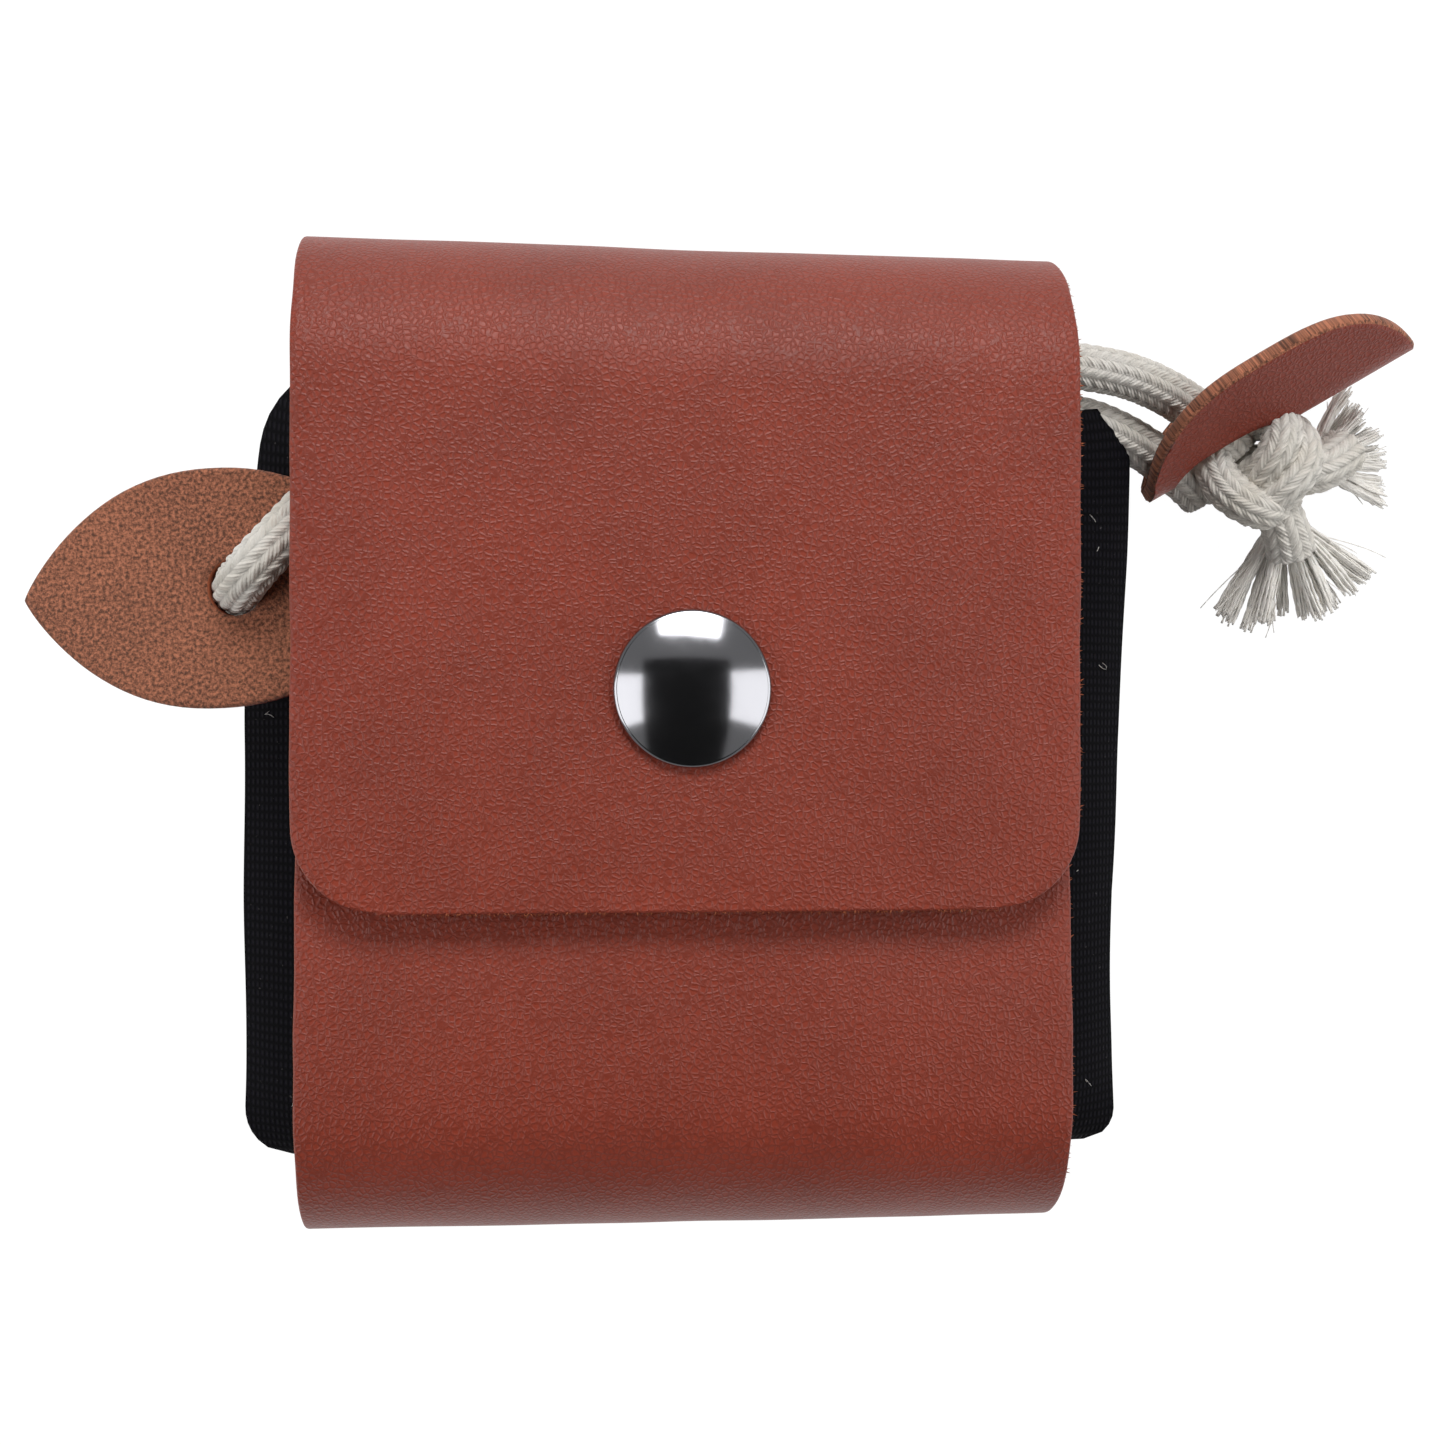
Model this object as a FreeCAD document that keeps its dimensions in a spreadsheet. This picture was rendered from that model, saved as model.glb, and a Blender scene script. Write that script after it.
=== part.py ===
"""Drum stick bag: a canvas pouch wrapped in one leather strip, shut by a snap, on a cotton cord.

The bag lies on its back. +X runs across the strip, +Y towards the mouth and +Z up, out of the flap.
The origin is under the middle of the wrap, on the surface it lies on. Every size is in millimetres.
"""
import FreeCAD, Part
import math
import os

Vector = FreeCAD.Vector

SIZES = [
    # leather strip
    ("strip_width", 75.0, "width of the leather strip"),
    ("leather", 1.8, "thickness of the leather"),
    ("bottom_radius", 13.0, "outer radius of the bend under the pouch"),
    ("top_radius", 15.4, "outer radius of the bend over the mouth"),
    ("bottom_centre", 36.2, "distance of the lower bend's centre from the origin"),
    ("top_centre", 33.8, "distance of the upper bend's centre from the origin"),
    ("front_length", 47.2, "front panel, from the lower bend's centre to its end under the flap"),
    ("flap_length", 50.5, "flap, from the upper bend's centre to its free end"),
    ("flap_corner", 8.0, "corner radius of the flap"),
    ("hinge_angle", 40.0, "where the bend folds, above and below its middle, in degrees"),
    ("hinge_gap", 1.2, "opening left between two folds of the bend, in degrees"),
    # snap fastener
    ("snap_place", 4.5, "distance of the snap from the origin, towards the mouth"),
    ("cap_radius", 7.5, "radius of the snap's cap"),
    ("cap_rim", 0.7, "height of the cap's rim above the flap"),
    ("cap_height", 2.3, "height of the cap's dome above the flap"),
    ("dome_step", 0.5, "distance of the dome from the rim's edge"),
    ("post_radius", 2.0, "radius of the posts that clamp the snap"),
    ("post_clearance", 0.05, "play of a post in its hole"),
    ("socket_radius", 6.1, "outer radius of the socket"),
    ("socket_bore", 3.8, "radius of the socket's mouth"),
    ("socket_height", 2.2, "height of the socket under the flap"),
    ("plate", 0.5, "thickness of the snap's pressed plates"),
    ("clench_radius", 2.8, "radius of a post's spread end"),
    ("clench", 0.25, "thickness of a post's spread end"),
    ("stud_flange", 5.0, "radius of the stud's flange"),
    ("stud_radius", 2.9, "radius of the stud's head"),
    ("stud_neck", 2.5, "radius of the stud's neck"),
    ("stud_height", 1.9, "height of the stud above the front panel"),
    ("stud_flange_height", 0.4, "thickness of the stud's flange"),
    ("stud_head_level", 0.76, "height of the head's underside above the front panel"),
    ("stud_head_height", 0.95, "height of the stud's head"),
    ("stud_hollow_depth", 1.14, "depth of the hollow that takes the post"),
    ("stud_post_reach", 0.95, "how far the post stands into the stud"),
    ("back_flange", 5.5, "radius of the flange behind the front panel"),
    # canvas pouch
    ("pouch_half", 45.0, "half width of the pouch at its side seams"),
    ("pouch_low", 40.0, "distance of the pouch's closed end from the origin"),
    ("pouch_mouth", 32.0, "distance of the pouch's mouth from the origin"),
    ("pouch_back", 2.7, "height of the pouch's back"),
    ("pouch_seam", 9.5, "height of the side seams"),
    ("pouch_top", 23.4, "height of the pouch's front at its middle"),
    ("pouch_corner", 10.0, "corner radius at the closed end"),
    ("mouth_corner", 6.0, "corner radius at the mouth"),
    ("canvas", 1.0, "thickness of the canvas with its lining"),
    ("hem_width", 10.0, "width of the folded hem inside the mouth"),
    # keeper
    ("keeper_half", 10.0, "half width of the webbing keeper"),
    ("keeper_band", 1.2, "thickness of the webbing"),
    ("keeper_foot", 4.4, "length of the webbing's foot on the leather"),
    ("keeper_lift", 0.7, "room between the foot and the leather, filled by its seam"),
    ("keeper_back", 0.6, "distance of the foot's start from the upper bend's centre"),
    # cord
    ("cord_radius", 2.5, "radius of the cotton cord"),
    ("cord_play", 0.3, "room between the cord and the keeper"),
    ("knot_radius", 6.6, "half width of the knot"),
    ("knot_height", 6.0, "half height of the knot"),
    ("stopper_radius", 4.9, "radius of the stopper knot under the left leaf"),
    # leaves
    ("left_length", 40.0, "length of the left leaf"),
    ("left_width", 23.6, "width of the left leaf"),
    ("left_hole", 3.9, "radius of the left leaf's hole"),
    ("left_hole_shift", 2.0, "distance of the hole from the left leaf's middle"),
    ("right_length", 34.0, "length of the right leaf"),
    ("right_depth", 9.6, "depth of the right leaf, from its fold to its edges"),
    ("fold_radius", 5.5, "radius of the right leaf's fold, at the middle of the leather"),
    ("slot_length", 15.0, "length of the right leaf's slot"),
    ("slot_shift", 5.5, "distance of the slot from the right leaf's middle"),
    ("slot_width", 7.4, "width of the right leaf's slot"),
    # stitches
    ("stitch_length", 3.0, "length of a stitch"),
    ("stitch_width", 0.8, "width of a stitch"),
    ("stitch_pitch", 4.5, "distance from stitch to stitch"),
    ("stitch_margin", 10.0, "least distance of a row of stitches from the strip's edges"),
    ("stitch_low", 24.0, "distance of the lower row from the origin"),
    ("stitch_gap", 2.8, "distance of the upper row from the hem"),
    ("stitch_sink", 1.6, "how deep the lower side of a stitch lies in the leather"),
    ("stitch_rise", 0.4, "how far a stitch stands off the canvas inside the pouch"),
]

doc = FreeCAD.newDocument("drum_stick_bag")
sheet = doc.addObject("Spreadsheet::Sheet", "Sizes")
for row, (alias, value, meaning) in enumerate(SIZES, start=1):
    sheet.set("A%d" % row, meaning)
    sheet.set("B%d" % row, str(value))
    sheet.setAlias("B%d" % row, alias)
doc.recompute()

NODES = []


def size(alias):
    return float(getattr(sheet, alias))


def bound(expression):
    """The expression with each of the sheet's aliases named in full."""
    words = expression.split()
    names = [row[0] for row in SIZES]
    return " ".join("Sizes." + word if word in names else word for word in words)


def place(obj, at):
    for axis, expression in zip("xyz", at):
        obj.setExpression("Placement.Base." + axis, bound(expression))


def node(obj, name):
    obj.Label = name
    NODES.append(obj)
    return obj


def box(name, extent, at):
    obj = doc.addObject("Part::Box", name)
    for side, expression in zip(("Length", "Width", "Height"), extent):
        obj.setExpression(side, bound(expression))
    place(obj, at)
    return obj


def cylinder(name, radius, height, at, turn=None, angle=None):
    obj = doc.addObject("Part::Cylinder", name)
    if turn is not None:
        obj.Placement.Rotation = turn
    obj.setExpression("Radius", bound(radius))
    obj.setExpression("Height", bound(height))
    if angle is not None:
        obj.setExpression("Angle", bound(angle))
    place(obj, at)
    return obj


def cut(name, base, tool):
    obj = doc.addObject("Part::Cut", name)
    obj.Base = base
    obj.Tool = tool
    return obj


def common(name, one, other):
    obj = doc.addObject("Part::Common", name)
    obj.Base = one
    obj.Tool = other
    return obj


def fuse(name, shapes):
    obj = doc.addObject("Part::MultiFuse", name)
    obj.Shapes = shapes
    obj.Refine = True
    return obj


def shaped(name, shape):
    """A freeform piece, made with Part's own functions from the sheet's sizes."""
    obj = doc.addObject("Part::Feature", name)
    obj.Shape = shape
    return node(obj, name)


# ---------------------------------------------------------------- leather strip

ACROSS_FROM_BELOW = FreeCAD.Rotation(Vector(0, 0, -1), Vector(0, 1, 0), Vector(1, 0, 0), "ZXY")
ACROSS_FROM_ABOVE = FreeCAD.Rotation(Vector(0, 0, 1), Vector(0, 1, 0), Vector(-1, 0, 0), "ZXY")
ACROSS_BOTTOM = FreeCAD.Rotation(Vector(0, 0, 1), Vector(0, -1, 0), Vector(1, 0, 0), "ZXY")

TOP_AXIS = ("0 - strip_width / 2", "top_centre", "top_radius")
TOP_AXIS_RIGHT = ("strip_width / 2", "top_centre", "top_radius")
BOTTOM_AXIS = ("0 - strip_width / 2", "0 - bottom_centre", "bottom_radius")
FOLD_SPAN = "90 - hinge_angle - hinge_gap / 2"


def bend(name, radius, at, turn, angle):
    """A stretch of the strip bent round an axis along X."""
    outer = cylinder(name + "_outer", radius, "strip_width", at, turn, angle)
    inner = cylinder(name + "_inner", radius + " - leather", "strip_width", at, turn)
    return cut(name, outer, inner)


def leather_body():
    """Back panel, bend under the pouch, front panel and the fixed start of the upper bend."""
    back = box("back_panel", ("strip_width", "bottom_centre + top_centre", "leather"),
               ("0 - strip_width / 2", "0 - bottom_centre", "0"))
    front = box("front_panel", ("strip_width", "front_length", "leather"),
                ("0 - strip_width / 2", "0 - bottom_centre", "2 * bottom_radius - leather"))
    lower = bend("bottom_bend", "bottom_radius", BOTTOM_AXIS, ACROSS_BOTTOM, "180")
    upper = bend("bend_start", "top_radius", TOP_AXIS, ACROSS_FROM_BELOW, FOLD_SPAN)
    strip = fuse("leather_strip", [back, front, lower, upper])
    hole = cylinder("stud_hole", "post_radius + post_clearance", "3 * leather",
                    ("0", "snap_place", "2 * bottom_radius - 2 * leather"))
    node(cut("leather_body", strip, hole), "leather_body")


def leather_bend():
    """The middle of the upper bend, between the two lines where it folds."""
    half_ring = bend("half_ring", "top_radius", TOP_AXIS, ACROSS_FROM_BELOW, "180")
    below = cylinder("below_fold", "top_radius + leather", "strip_width", TOP_AXIS,
                     ACROSS_FROM_BELOW, "90 - hinge_angle + hinge_gap / 2")
    above = cylinder("above_fold", "top_radius + leather", "strip_width", TOP_AXIS_RIGHT,
                     ACROSS_FROM_ABOVE, "90 - hinge_angle + hinge_gap / 2")
    node(cut("leather_bend", cut("bend_above_fold", half_ring, below), above), "leather_bend")


def leather_flap():
    """End of the upper bend and the flap with its two round corners."""
    panel = box("flap_panel", ("strip_width", "flap_length", "leather"),
                ("0 - strip_width / 2", "top_centre - flap_length", "2 * top_radius - leather"))
    doc.recompute()
    rounded = doc.addObject("Part::Fillet", "flap_corners")
    rounded.Base = panel
    free_end = size("top_centre") - size("flap_length")
    corners = []
    for number, edge in enumerate(panel.Shape.Edges, start=1):
        ends = [vertex.Point for vertex in edge.Vertexes]
        upright = abs(ends[0].z - ends[1].z) > size("leather") / 2
        if upright and abs(ends[0].y - free_end) < size("leather") / 2:
            corners.append((number, size("flap_corner"), size("flap_corner")))
    rounded.Edges = corners
    roll = bend("bend_end", "top_radius", TOP_AXIS_RIGHT, ACROSS_FROM_ABOVE, FOLD_SPAN)
    hole = cylinder("cap_hole", "post_radius + post_clearance", "3 * leather",
                    ("0", "snap_place", "2 * top_radius - 2 * leather"))
    flap = cut("leather_flap", fuse("flap_strip", [rounded, roll]), hole)
    node(flap, "leather_flap")


# ---------------------------------------------------------------- snap fastener

FLAP_TOP = "2 * top_radius"
FLAP_UNDER = "2 * top_radius - leather"
FRONT_TOP = "2 * bottom_radius"
FRONT_UNDER = "2 * bottom_radius - leather"


def disc(name, radius, height, level):
    return cylinder(name, radius, height, ("0", "snap_place", level))


def snap_cap():
    """Domed cap on the flap, with the post that clamps the socket under it."""
    rim = disc("cap_rim_disc", "cap_radius", "cap_rim", FLAP_TOP)
    sphere = doc.addObject("Part::Sphere", "cap_sphere")
    dome_rise = "( cap_height - cap_rim )"
    dome_radius = "( ( cap_radius - dome_step ) ^ 2 + %s ^ 2 ) / ( 2 * %s )" % (dome_rise, dome_rise)
    sphere.setExpression("Radius", bound(dome_radius))
    place(sphere, ("0", "snap_place", FLAP_TOP + " + cap_height - " + dome_radius))
    column = disc("cap_column", "cap_radius", "cap_height + 1", FLAP_TOP)
    dome = common("cap_dome", sphere, column)
    post = disc("cap_post", "post_radius", "leather + plate + clench", FLAP_UNDER + " - plate - clench")
    clench = disc("cap_clench", "clench_radius", "clench", FLAP_UNDER + " - plate - clench")
    node(fuse("snap_cap", [rim, dome, post, clench]), "snap_cap")


def snap_socket():
    """Ring under the flap that takes the stud."""
    outer = disc("socket_outer", "socket_radius", "socket_height", FLAP_UNDER + " - socket_height")
    mouth = disc("socket_mouth", "socket_bore", "socket_height - plate",
                 FLAP_UNDER + " - socket_height")
    hole = disc("socket_hole", "post_radius + post_clearance", "2 * plate",
                FLAP_UNDER + " - 1.5 * plate")
    node(cut("snap_socket", outer, fuse("socket_hollow", [mouth, hole])), "snap_socket")


def snap_stud():
    """Stud on the front panel: flange, neck and head, hollow over the post that clamps it."""
    flange = disc("stud_flange_disc", "stud_flange", "stud_flange_height", FRONT_TOP)
    neck = disc("stud_neck_disc", "stud_neck", "stud_height", FRONT_TOP)
    head = disc("stud_head_disc", "stud_radius", "stud_head_height", FRONT_TOP + " + stud_head_level")
    hollow = disc("stud_hollow", "post_radius + post_clearance", "stud_hollow_depth", FRONT_TOP)
    node(cut("snap_stud", fuse("stud_solid", [flange, neck, head]), hollow), "snap_stud")


def snap_post():
    """Flanged post behind the front panel that holds the stud."""
    flange = disc("post_flange", "back_flange", "plate", FRONT_UNDER + " - plate")
    post = disc("post_shank", "post_radius", "leather + plate + stud_post_reach",
                FRONT_UNDER + " - plate")
    node(fuse("snap_post", [flange, post]), "snap_post")


# ---------------------------------------------------------------- canvas pouch

PROFILE_STEPS = 8
FRONT_POWER = 4
BACK_POWER = 8


def pillow_curve(inset, level, power, sign):
    """Half of the pouch's section, a flat crown that falls to the seam at both sides."""
    half = size("pouch_half") - inset
    seam = size("pouch_seam")
    rise = abs(level - seam) - inset
    points = []
    for step in range(-PROFILE_STEPS, PROFILE_STEPS + 1):
        across = step / PROFILE_STEPS
        points.append(Vector(half * across, 0, seam + sign * rise * (1 - abs(across) ** power)))
    curve = Part.BSplineCurve()
    curve.interpolate(points)
    return curve.toShape()


def pillow(inset, low, mouth):
    """The pouch's outer form, or the same form drawn in by inset, from low to mouth."""
    front = pillow_curve(inset, size("pouch_top"), FRONT_POWER, 1)
    back = pillow_curve(inset, size("pouch_back"), BACK_POWER, -1)
    face = Part.Face(Part.Wire(Part.__sortEdges__([front, back])))
    face.translate(Vector(0, low, 0))
    return face.extrude(Vector(0, mouth - low, 0))


def upright_edges(shape):
    return [edge for edge in shape.Edges if abs(edge.tangentAt(edge.FirstParameter).z) > 0.9]


def plan(inset, mouth):
    """Upright prism with the pouch's outline from above, its corners rounded."""
    half = size("pouch_half") - inset
    low = inset - size("pouch_low")
    height = 2 * size("top_radius")
    prism = Part.makeBox(2 * half, mouth - low, height, Vector(-half, low, 0))
    ends = [edge for edge in upright_edges(prism) if edge.BoundBox.YMax < low + inset + 1]
    prism = prism.makeFillet(size("pouch_corner") - inset, ends)
    mouths = [edge for edge in upright_edges(prism) if edge.BoundBox.YMin > mouth - 1]
    return prism.makeFillet(size("mouth_corner"), mouths)


def half_space(sign):
    """Block above or below the level of the side seams."""
    block = 4 * size("pouch_half")
    level = size("pouch_seam") if sign > 0 else size("pouch_seam") - block
    return Part.makeBox(block, block, block, Vector(-block / 2, -block / 2, level))


def pouch():
    """Front and back canvas, sewn at the sides and the closed end, and the two hems."""
    cloth = size("canvas")
    low = -size("pouch_low")
    mouth = size("pouch_mouth")
    outline = plan(0, mouth)
    outer = pillow(0, low, mouth).common(outline)
    hollow = pillow(cloth, low + cloth, mouth + 2).common(plan(cloth, mouth + 2 + size("mouth_corner")))
    shell = outer.cut(hollow)
    hem_low = mouth - size("hem_width")
    hem = pillow(cloth, hem_low, mouth).cut(pillow(2 * cloth, hem_low - 1, mouth + 1))
    hem = hem.common(plan(cloth, mouth))
    for side, sign in (("front", 1), ("back", -1)):
        shaped("canvas_" + side, shell.common(half_space(sign)).removeSplitter())
        shaped("hem_" + side, hem.common(half_space(sign)).removeSplitter())


# ---------------------------------------------------------------- cord

ROUTES = {
    "cord_left": [(0, 39.3, 15.0), (-14, 39.3, 15.0), (-20.6, 38.2, 20.8), (-25.5, 33.4, 25.4),
                  (-31.0, 27.2, 26.2), (-36.8, 21.2, 26.0), (-42.6, 15.0, 25.6), (-44.4, 14.1, 16.5),
                  (-48.0, 12.8, 11.8)],
    "cord_right_upper": [(0, 39.3, 15.0), (19, 39.3, 15.0), (38, 39.2, 14.0), (52.8, 37.4, 11.4),
                         (61.0, 31.1, 7.9)],
    "cord_right_lower": [(0, 34.9, 12.0), (18, 34.9, 12.0), (36, 34.9, 11.0), (49.7, 32.5, 8.5),
                         (57.9, 26.2, 5.0)],
    "tail_upper": [(65.5, 28.6, 5.5), (72.0, 31.8, 3.2), (79.6, 33.1, 2.8)],
    "tail_lower": [(63.5, 23.5, 4.6), (65.6, 17.2, 3.0), (66.7, 10.8, 2.8)],
}

KNOT_PLACE = Vector(62.0, 27.4, 6.3)
STOPPER_PLACE = Vector(-49.0, 12.8, 12.4)


def cord_path(points):
    """Straight runs joined by tangent arcs, as large as the runs allow, and each arc's radius."""
    corners = [Vector(*point) for point in points]
    edges = []
    radii = []
    start = corners[0]
    for before, corner, after in zip(corners, corners[1:], corners[2:]):
        one = (before - corner).normalize()
        two = (after - corner).normalize()
        reach = 0.45 * min((before - corner).Length, (after - corner).Length)
        turn = math.pi - one.getAngle(two)
        radii.append(reach / math.tan(turn / 2))
        enter = corner + one * reach
        leave = corner + two * reach
        middle = (one + two).normalize()
        depth = radii[-1] / math.cos(turn / 2) - radii[-1]
        edges.append(Part.LineSegment(start, enter).toShape())
        edges.append(Part.Arc(enter, corner + middle * depth, leave).toShape())
        start = leave
    edges.append(Part.LineSegment(start, corners[-1]).toShape())
    return Part.Wire(edges), radii


def cord_tubes():
    radius = size("cord_radius")
    for name, points in ROUTES.items():
        path, radii = cord_path(points)
        tangent = path.Edges[0].tangentAt(path.Edges[0].FirstParameter)
        ring = Part.Wire(Part.makeCircle(radius, Vector(*points[0]), tangent))
        tube = path.makePipeShell([ring], True, True)
        shaped(name, tube)
        expected = math.pi * radius ** 2 * path.Length
        print(name, "length %.1f" % path.Length, "volume ratio %.4f" % (tube.Volume / expected),
              "radii", ["%.1f" % value for value in radii])


def knots():
    """The knot beyond the right leaf and the stopper knot under the left one."""
    knot = doc.addObject("Part::Ellipsoid", "cord_knot")
    knot.setExpression("Radius1", bound("knot_height"))
    knot.setExpression("Radius2", bound("knot_radius"))
    knot.setExpression("Radius3", bound("knot_radius"))
    knot.Placement.Base = KNOT_PLACE
    node(knot, "cord_knot")
    stopper = doc.addObject("Part::Sphere", "stopper_knot")
    stopper.setExpression("Radius", bound("stopper_radius"))
    stopper.Placement.Base = STOPPER_PLACE
    node(stopper, "stopper_knot")


def keeper():
    """Webbing loop that holds the cord at the back of the mouth, on a foot sewn to the leather."""
    room = size("cord_radius") + size("cord_play")
    band = "keeper_band"
    upper_run = Vector(*ROUTES["cord_right_upper"][0])
    lower_run = Vector(*ROUTES["cord_right_lower"][0])
    low_y = lower_run.y - room
    high_y = upper_run.y + room
    low_z = lower_run.z - room
    high_z = upper_run.z + room
    wide = "2 * keeper_half"
    left = "0 - keeper_half"
    outer = box("keeper_outer", (wide, "%r + 2 * %s" % (high_y - low_y, band),
                                 "%r + 2 * %s" % (high_z - low_z, band)),
                (left, "%r - %s" % (low_y, band), "%r - %s" % (low_z, band)))
    inner = box("keeper_room", (wide + " + 2", "%r" % (high_y - low_y), "%r" % (high_z - low_z)),
                (left + " - 1", "%r" % low_y, "%r" % low_z))
    foot_level = "leather + keeper_lift"
    start = "top_centre - keeper_back"
    leg = box("keeper_leg", (wide, band, "%r - ( %s )" % (low_z, foot_level)),
              (left, start, foot_level))
    foot = box("keeper_flat", (wide, "keeper_foot", band), (left, start, foot_level))
    node(fuse("keeper", [cut("keeper_loop", outer, inner), leg, foot]), "keeper")


# ---------------------------------------------------------------- leaves

LEFT_MIDDLE = Vector(-45.4, 14.4, 18.6)
LEFT_TURN = FreeCAD.Rotation(Vector(0, 0, 1), 3.0) * FreeCAD.Rotation(Vector(0, 1, 0), -11.0)
RIGHT_MIDDLE = Vector(61.8, 33.6, 9.4)
RIGHT_ALONG = Vector(0.84, 0.50, 0.20)
RIGHT_FACING = Vector(0.66, -0.66, -0.36)


def leaf_left():
    """Flat pointed oval: where two round discs overlap."""
    arc = "( ( left_length / 2 ) ^ 2 + ( left_width / 2 ) ^ 2 ) / left_width"
    one = cylinder("leaf_arc_upper", arc, "leather", ("0", "left_width / 2 - " + arc, "0"))
    other = cylinder("leaf_arc_lower", arc, "leather", ("0", arc + " - left_width / 2", "0"))
    hole = cylinder("leaf_hole", "left_hole", "3 * leather", ("left_hole_shift", "0", "0 - leather"))
    leaf = cut("leaf_left", common("leaf_oval", one, other), hole)
    leaf.Placement = FreeCAD.Placement(LEFT_MIDDLE, LEFT_TURN)
    node(leaf, "leaf_left")


def channel(name, radius):
    """A half round with straight walls behind it, along the right leaf's length."""
    along = FreeCAD.Rotation(Vector(0, 1, 0), 90)
    rounded = cylinder(name + "_round", radius, "right_length",
                       ("0 - right_length / 2", "0", "0 - fold_radius"), along)
    walls = box(name + "_walls", ("right_length", "2 * ( " + radius + " )", "2 * right_depth"),
                ("0 - right_length / 2", "0 - ( " + radius + " )",
                 "0 - fold_radius - 2 * right_depth"))
    return fuse(name, [rounded, walls])


def leaf_right():
    """The same pointed oval curled up along its length, with a slot in its fold."""
    skin = cut("leaf_channel", channel("channel_outer", "fold_radius + leather / 2"),
               channel("channel_inner", "fold_radius - leather / 2"))
    across = FreeCAD.Rotation(Vector(1, 0, 0), -90)
    arc = "( ( right_length / 2 ) ^ 2 + right_depth ^ 2 ) / ( 2 * right_depth )"
    outline = cylinder("leaf_outline", arc, "4 * fold_radius",
                       ("0", "0 - 2 * fold_radius", arc + " - right_depth"), across)
    slot = box("leaf_slot", ("slot_length", "slot_width", "4 * leather"),
               ("0 - slot_shift - slot_length / 2", "0 - slot_width / 2", "0 - 2 * leather"))
    leaf = cut("leaf_right", common("leaf_curled", skin, outline), slot)
    side = RIGHT_FACING.cross(RIGHT_ALONG)
    turn = FreeCAD.Rotation(RIGHT_ALONG, side, RIGHT_FACING, "XZY")
    leaf.Placement = FreeCAD.Placement(RIGHT_MIDDLE, turn)
    node(leaf, "leaf_right")


# ---------------------------------------------------------------- stitches

def back_stitches():
    """Two rows of stitches that hold the pouch to the back panel."""
    pitch = size("stitch_pitch")
    low = size("leather") - size("stitch_sink")
    height = size("pouch_back") + size("canvas") + size("stitch_rise") - low
    stitches = []
    count = int((size("strip_width") - 2 * size("stitch_margin")) // pitch)
    upper_row = size("pouch_mouth") - size("hem_width") - size("stitch_gap")
    for row in (-size("stitch_low"), upper_row):
        for number in range(count):
            left = (number - count / 2) * pitch + (pitch - size("stitch_length")) / 2
            stitches.append(Part.makeBox(size("stitch_length"), size("stitch_width"), height,
                                         Vector(left, row, low)))
    shaped("back_stitches", Part.makeCompound(stitches))


leather_body()
leather_bend()
leather_flap()
snap_cap()
snap_socket()
snap_stud()
snap_post()
pouch()
keeper()
cord_tubes()
knots()
leaf_left()
leaf_right()
back_stitches()
doc.recompute()

for obj in doc.Objects:
    if "Invalid" in obj.State or "Error" in obj.State:
        raise RuntimeError("%s could not be built: %s" % (obj.Name, obj.State))
for obj in NODES:
    if obj.Shape.isNull() or not obj.Shape.isValid() or not obj.Shape.Solids:
        raise RuntimeError("%s has no sound shape" % obj.Label)

os.makedirs("parts", exist_ok=True)
for obj in NODES:
    obj.Shape.exportStep("parts/%s.step" % obj.Label)
    extent = obj.Shape.BoundBox
    print("%-18s solids %d  volume %9.2f  x %.1f..%.1f  y %.1f..%.1f  z %.2f..%.2f" % (
        obj.Label, len(obj.Shape.Solids), obj.Shape.Volume, extent.XMin, extent.XMax,
        extent.YMin, extent.YMax, extent.ZMin, extent.ZMax))
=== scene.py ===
"""Drum stick bag: a canvas pouch in a leather wrap with a snap, on a braided cotton cord with two leaves.

Laid out as a Blender add-on. Lengths are in metres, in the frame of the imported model: +X across the strip,
+Y towards the mouth, +Z up out of the flap, and the bag lies on its back on z = 0.
"""

import math
import random

import bpy
from mathutils import Matrix, Vector, noise


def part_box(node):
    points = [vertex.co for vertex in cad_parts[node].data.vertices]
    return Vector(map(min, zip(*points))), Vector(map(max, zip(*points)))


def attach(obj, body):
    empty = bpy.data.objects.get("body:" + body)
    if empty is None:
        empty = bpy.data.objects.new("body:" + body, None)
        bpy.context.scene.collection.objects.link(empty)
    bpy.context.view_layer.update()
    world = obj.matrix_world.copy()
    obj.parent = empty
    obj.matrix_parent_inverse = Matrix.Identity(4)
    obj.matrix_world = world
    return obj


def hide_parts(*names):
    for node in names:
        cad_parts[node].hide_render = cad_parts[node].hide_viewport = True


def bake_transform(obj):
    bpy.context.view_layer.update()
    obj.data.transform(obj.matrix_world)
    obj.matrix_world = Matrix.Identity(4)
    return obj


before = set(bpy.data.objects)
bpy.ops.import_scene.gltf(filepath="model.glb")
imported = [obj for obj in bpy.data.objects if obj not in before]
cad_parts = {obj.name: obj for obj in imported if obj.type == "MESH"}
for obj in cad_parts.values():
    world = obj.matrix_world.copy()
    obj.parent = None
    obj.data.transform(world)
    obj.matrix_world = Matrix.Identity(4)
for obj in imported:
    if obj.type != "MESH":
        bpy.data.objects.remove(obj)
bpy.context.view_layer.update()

bl_info = {
    "name": "Drum stick bag",
    "version": (1, 0, 0),
    "blender": (4, 5, 0),
    "location": "3D View > Sidebar > Bag",
    "description": "Builds a leather and canvas drum stick bag around its packed model",
    "category": "Mesh",
}

MM = 0.001
TURN = 2 * math.pi


# ---------------------------------------------------------------- sizes and colours

FLAP_LOW, FLAP_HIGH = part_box("leather_flap")
BODY_LOW, BODY_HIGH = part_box("leather_body")
BEND_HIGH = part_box("leather_bend")[1]
POUCH_LOW, POUCH_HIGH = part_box("canvas_front")
POUCH_BACK_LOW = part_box("canvas_back")[0]
CAP_LOW, CAP_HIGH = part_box("snap_cap")


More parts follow.
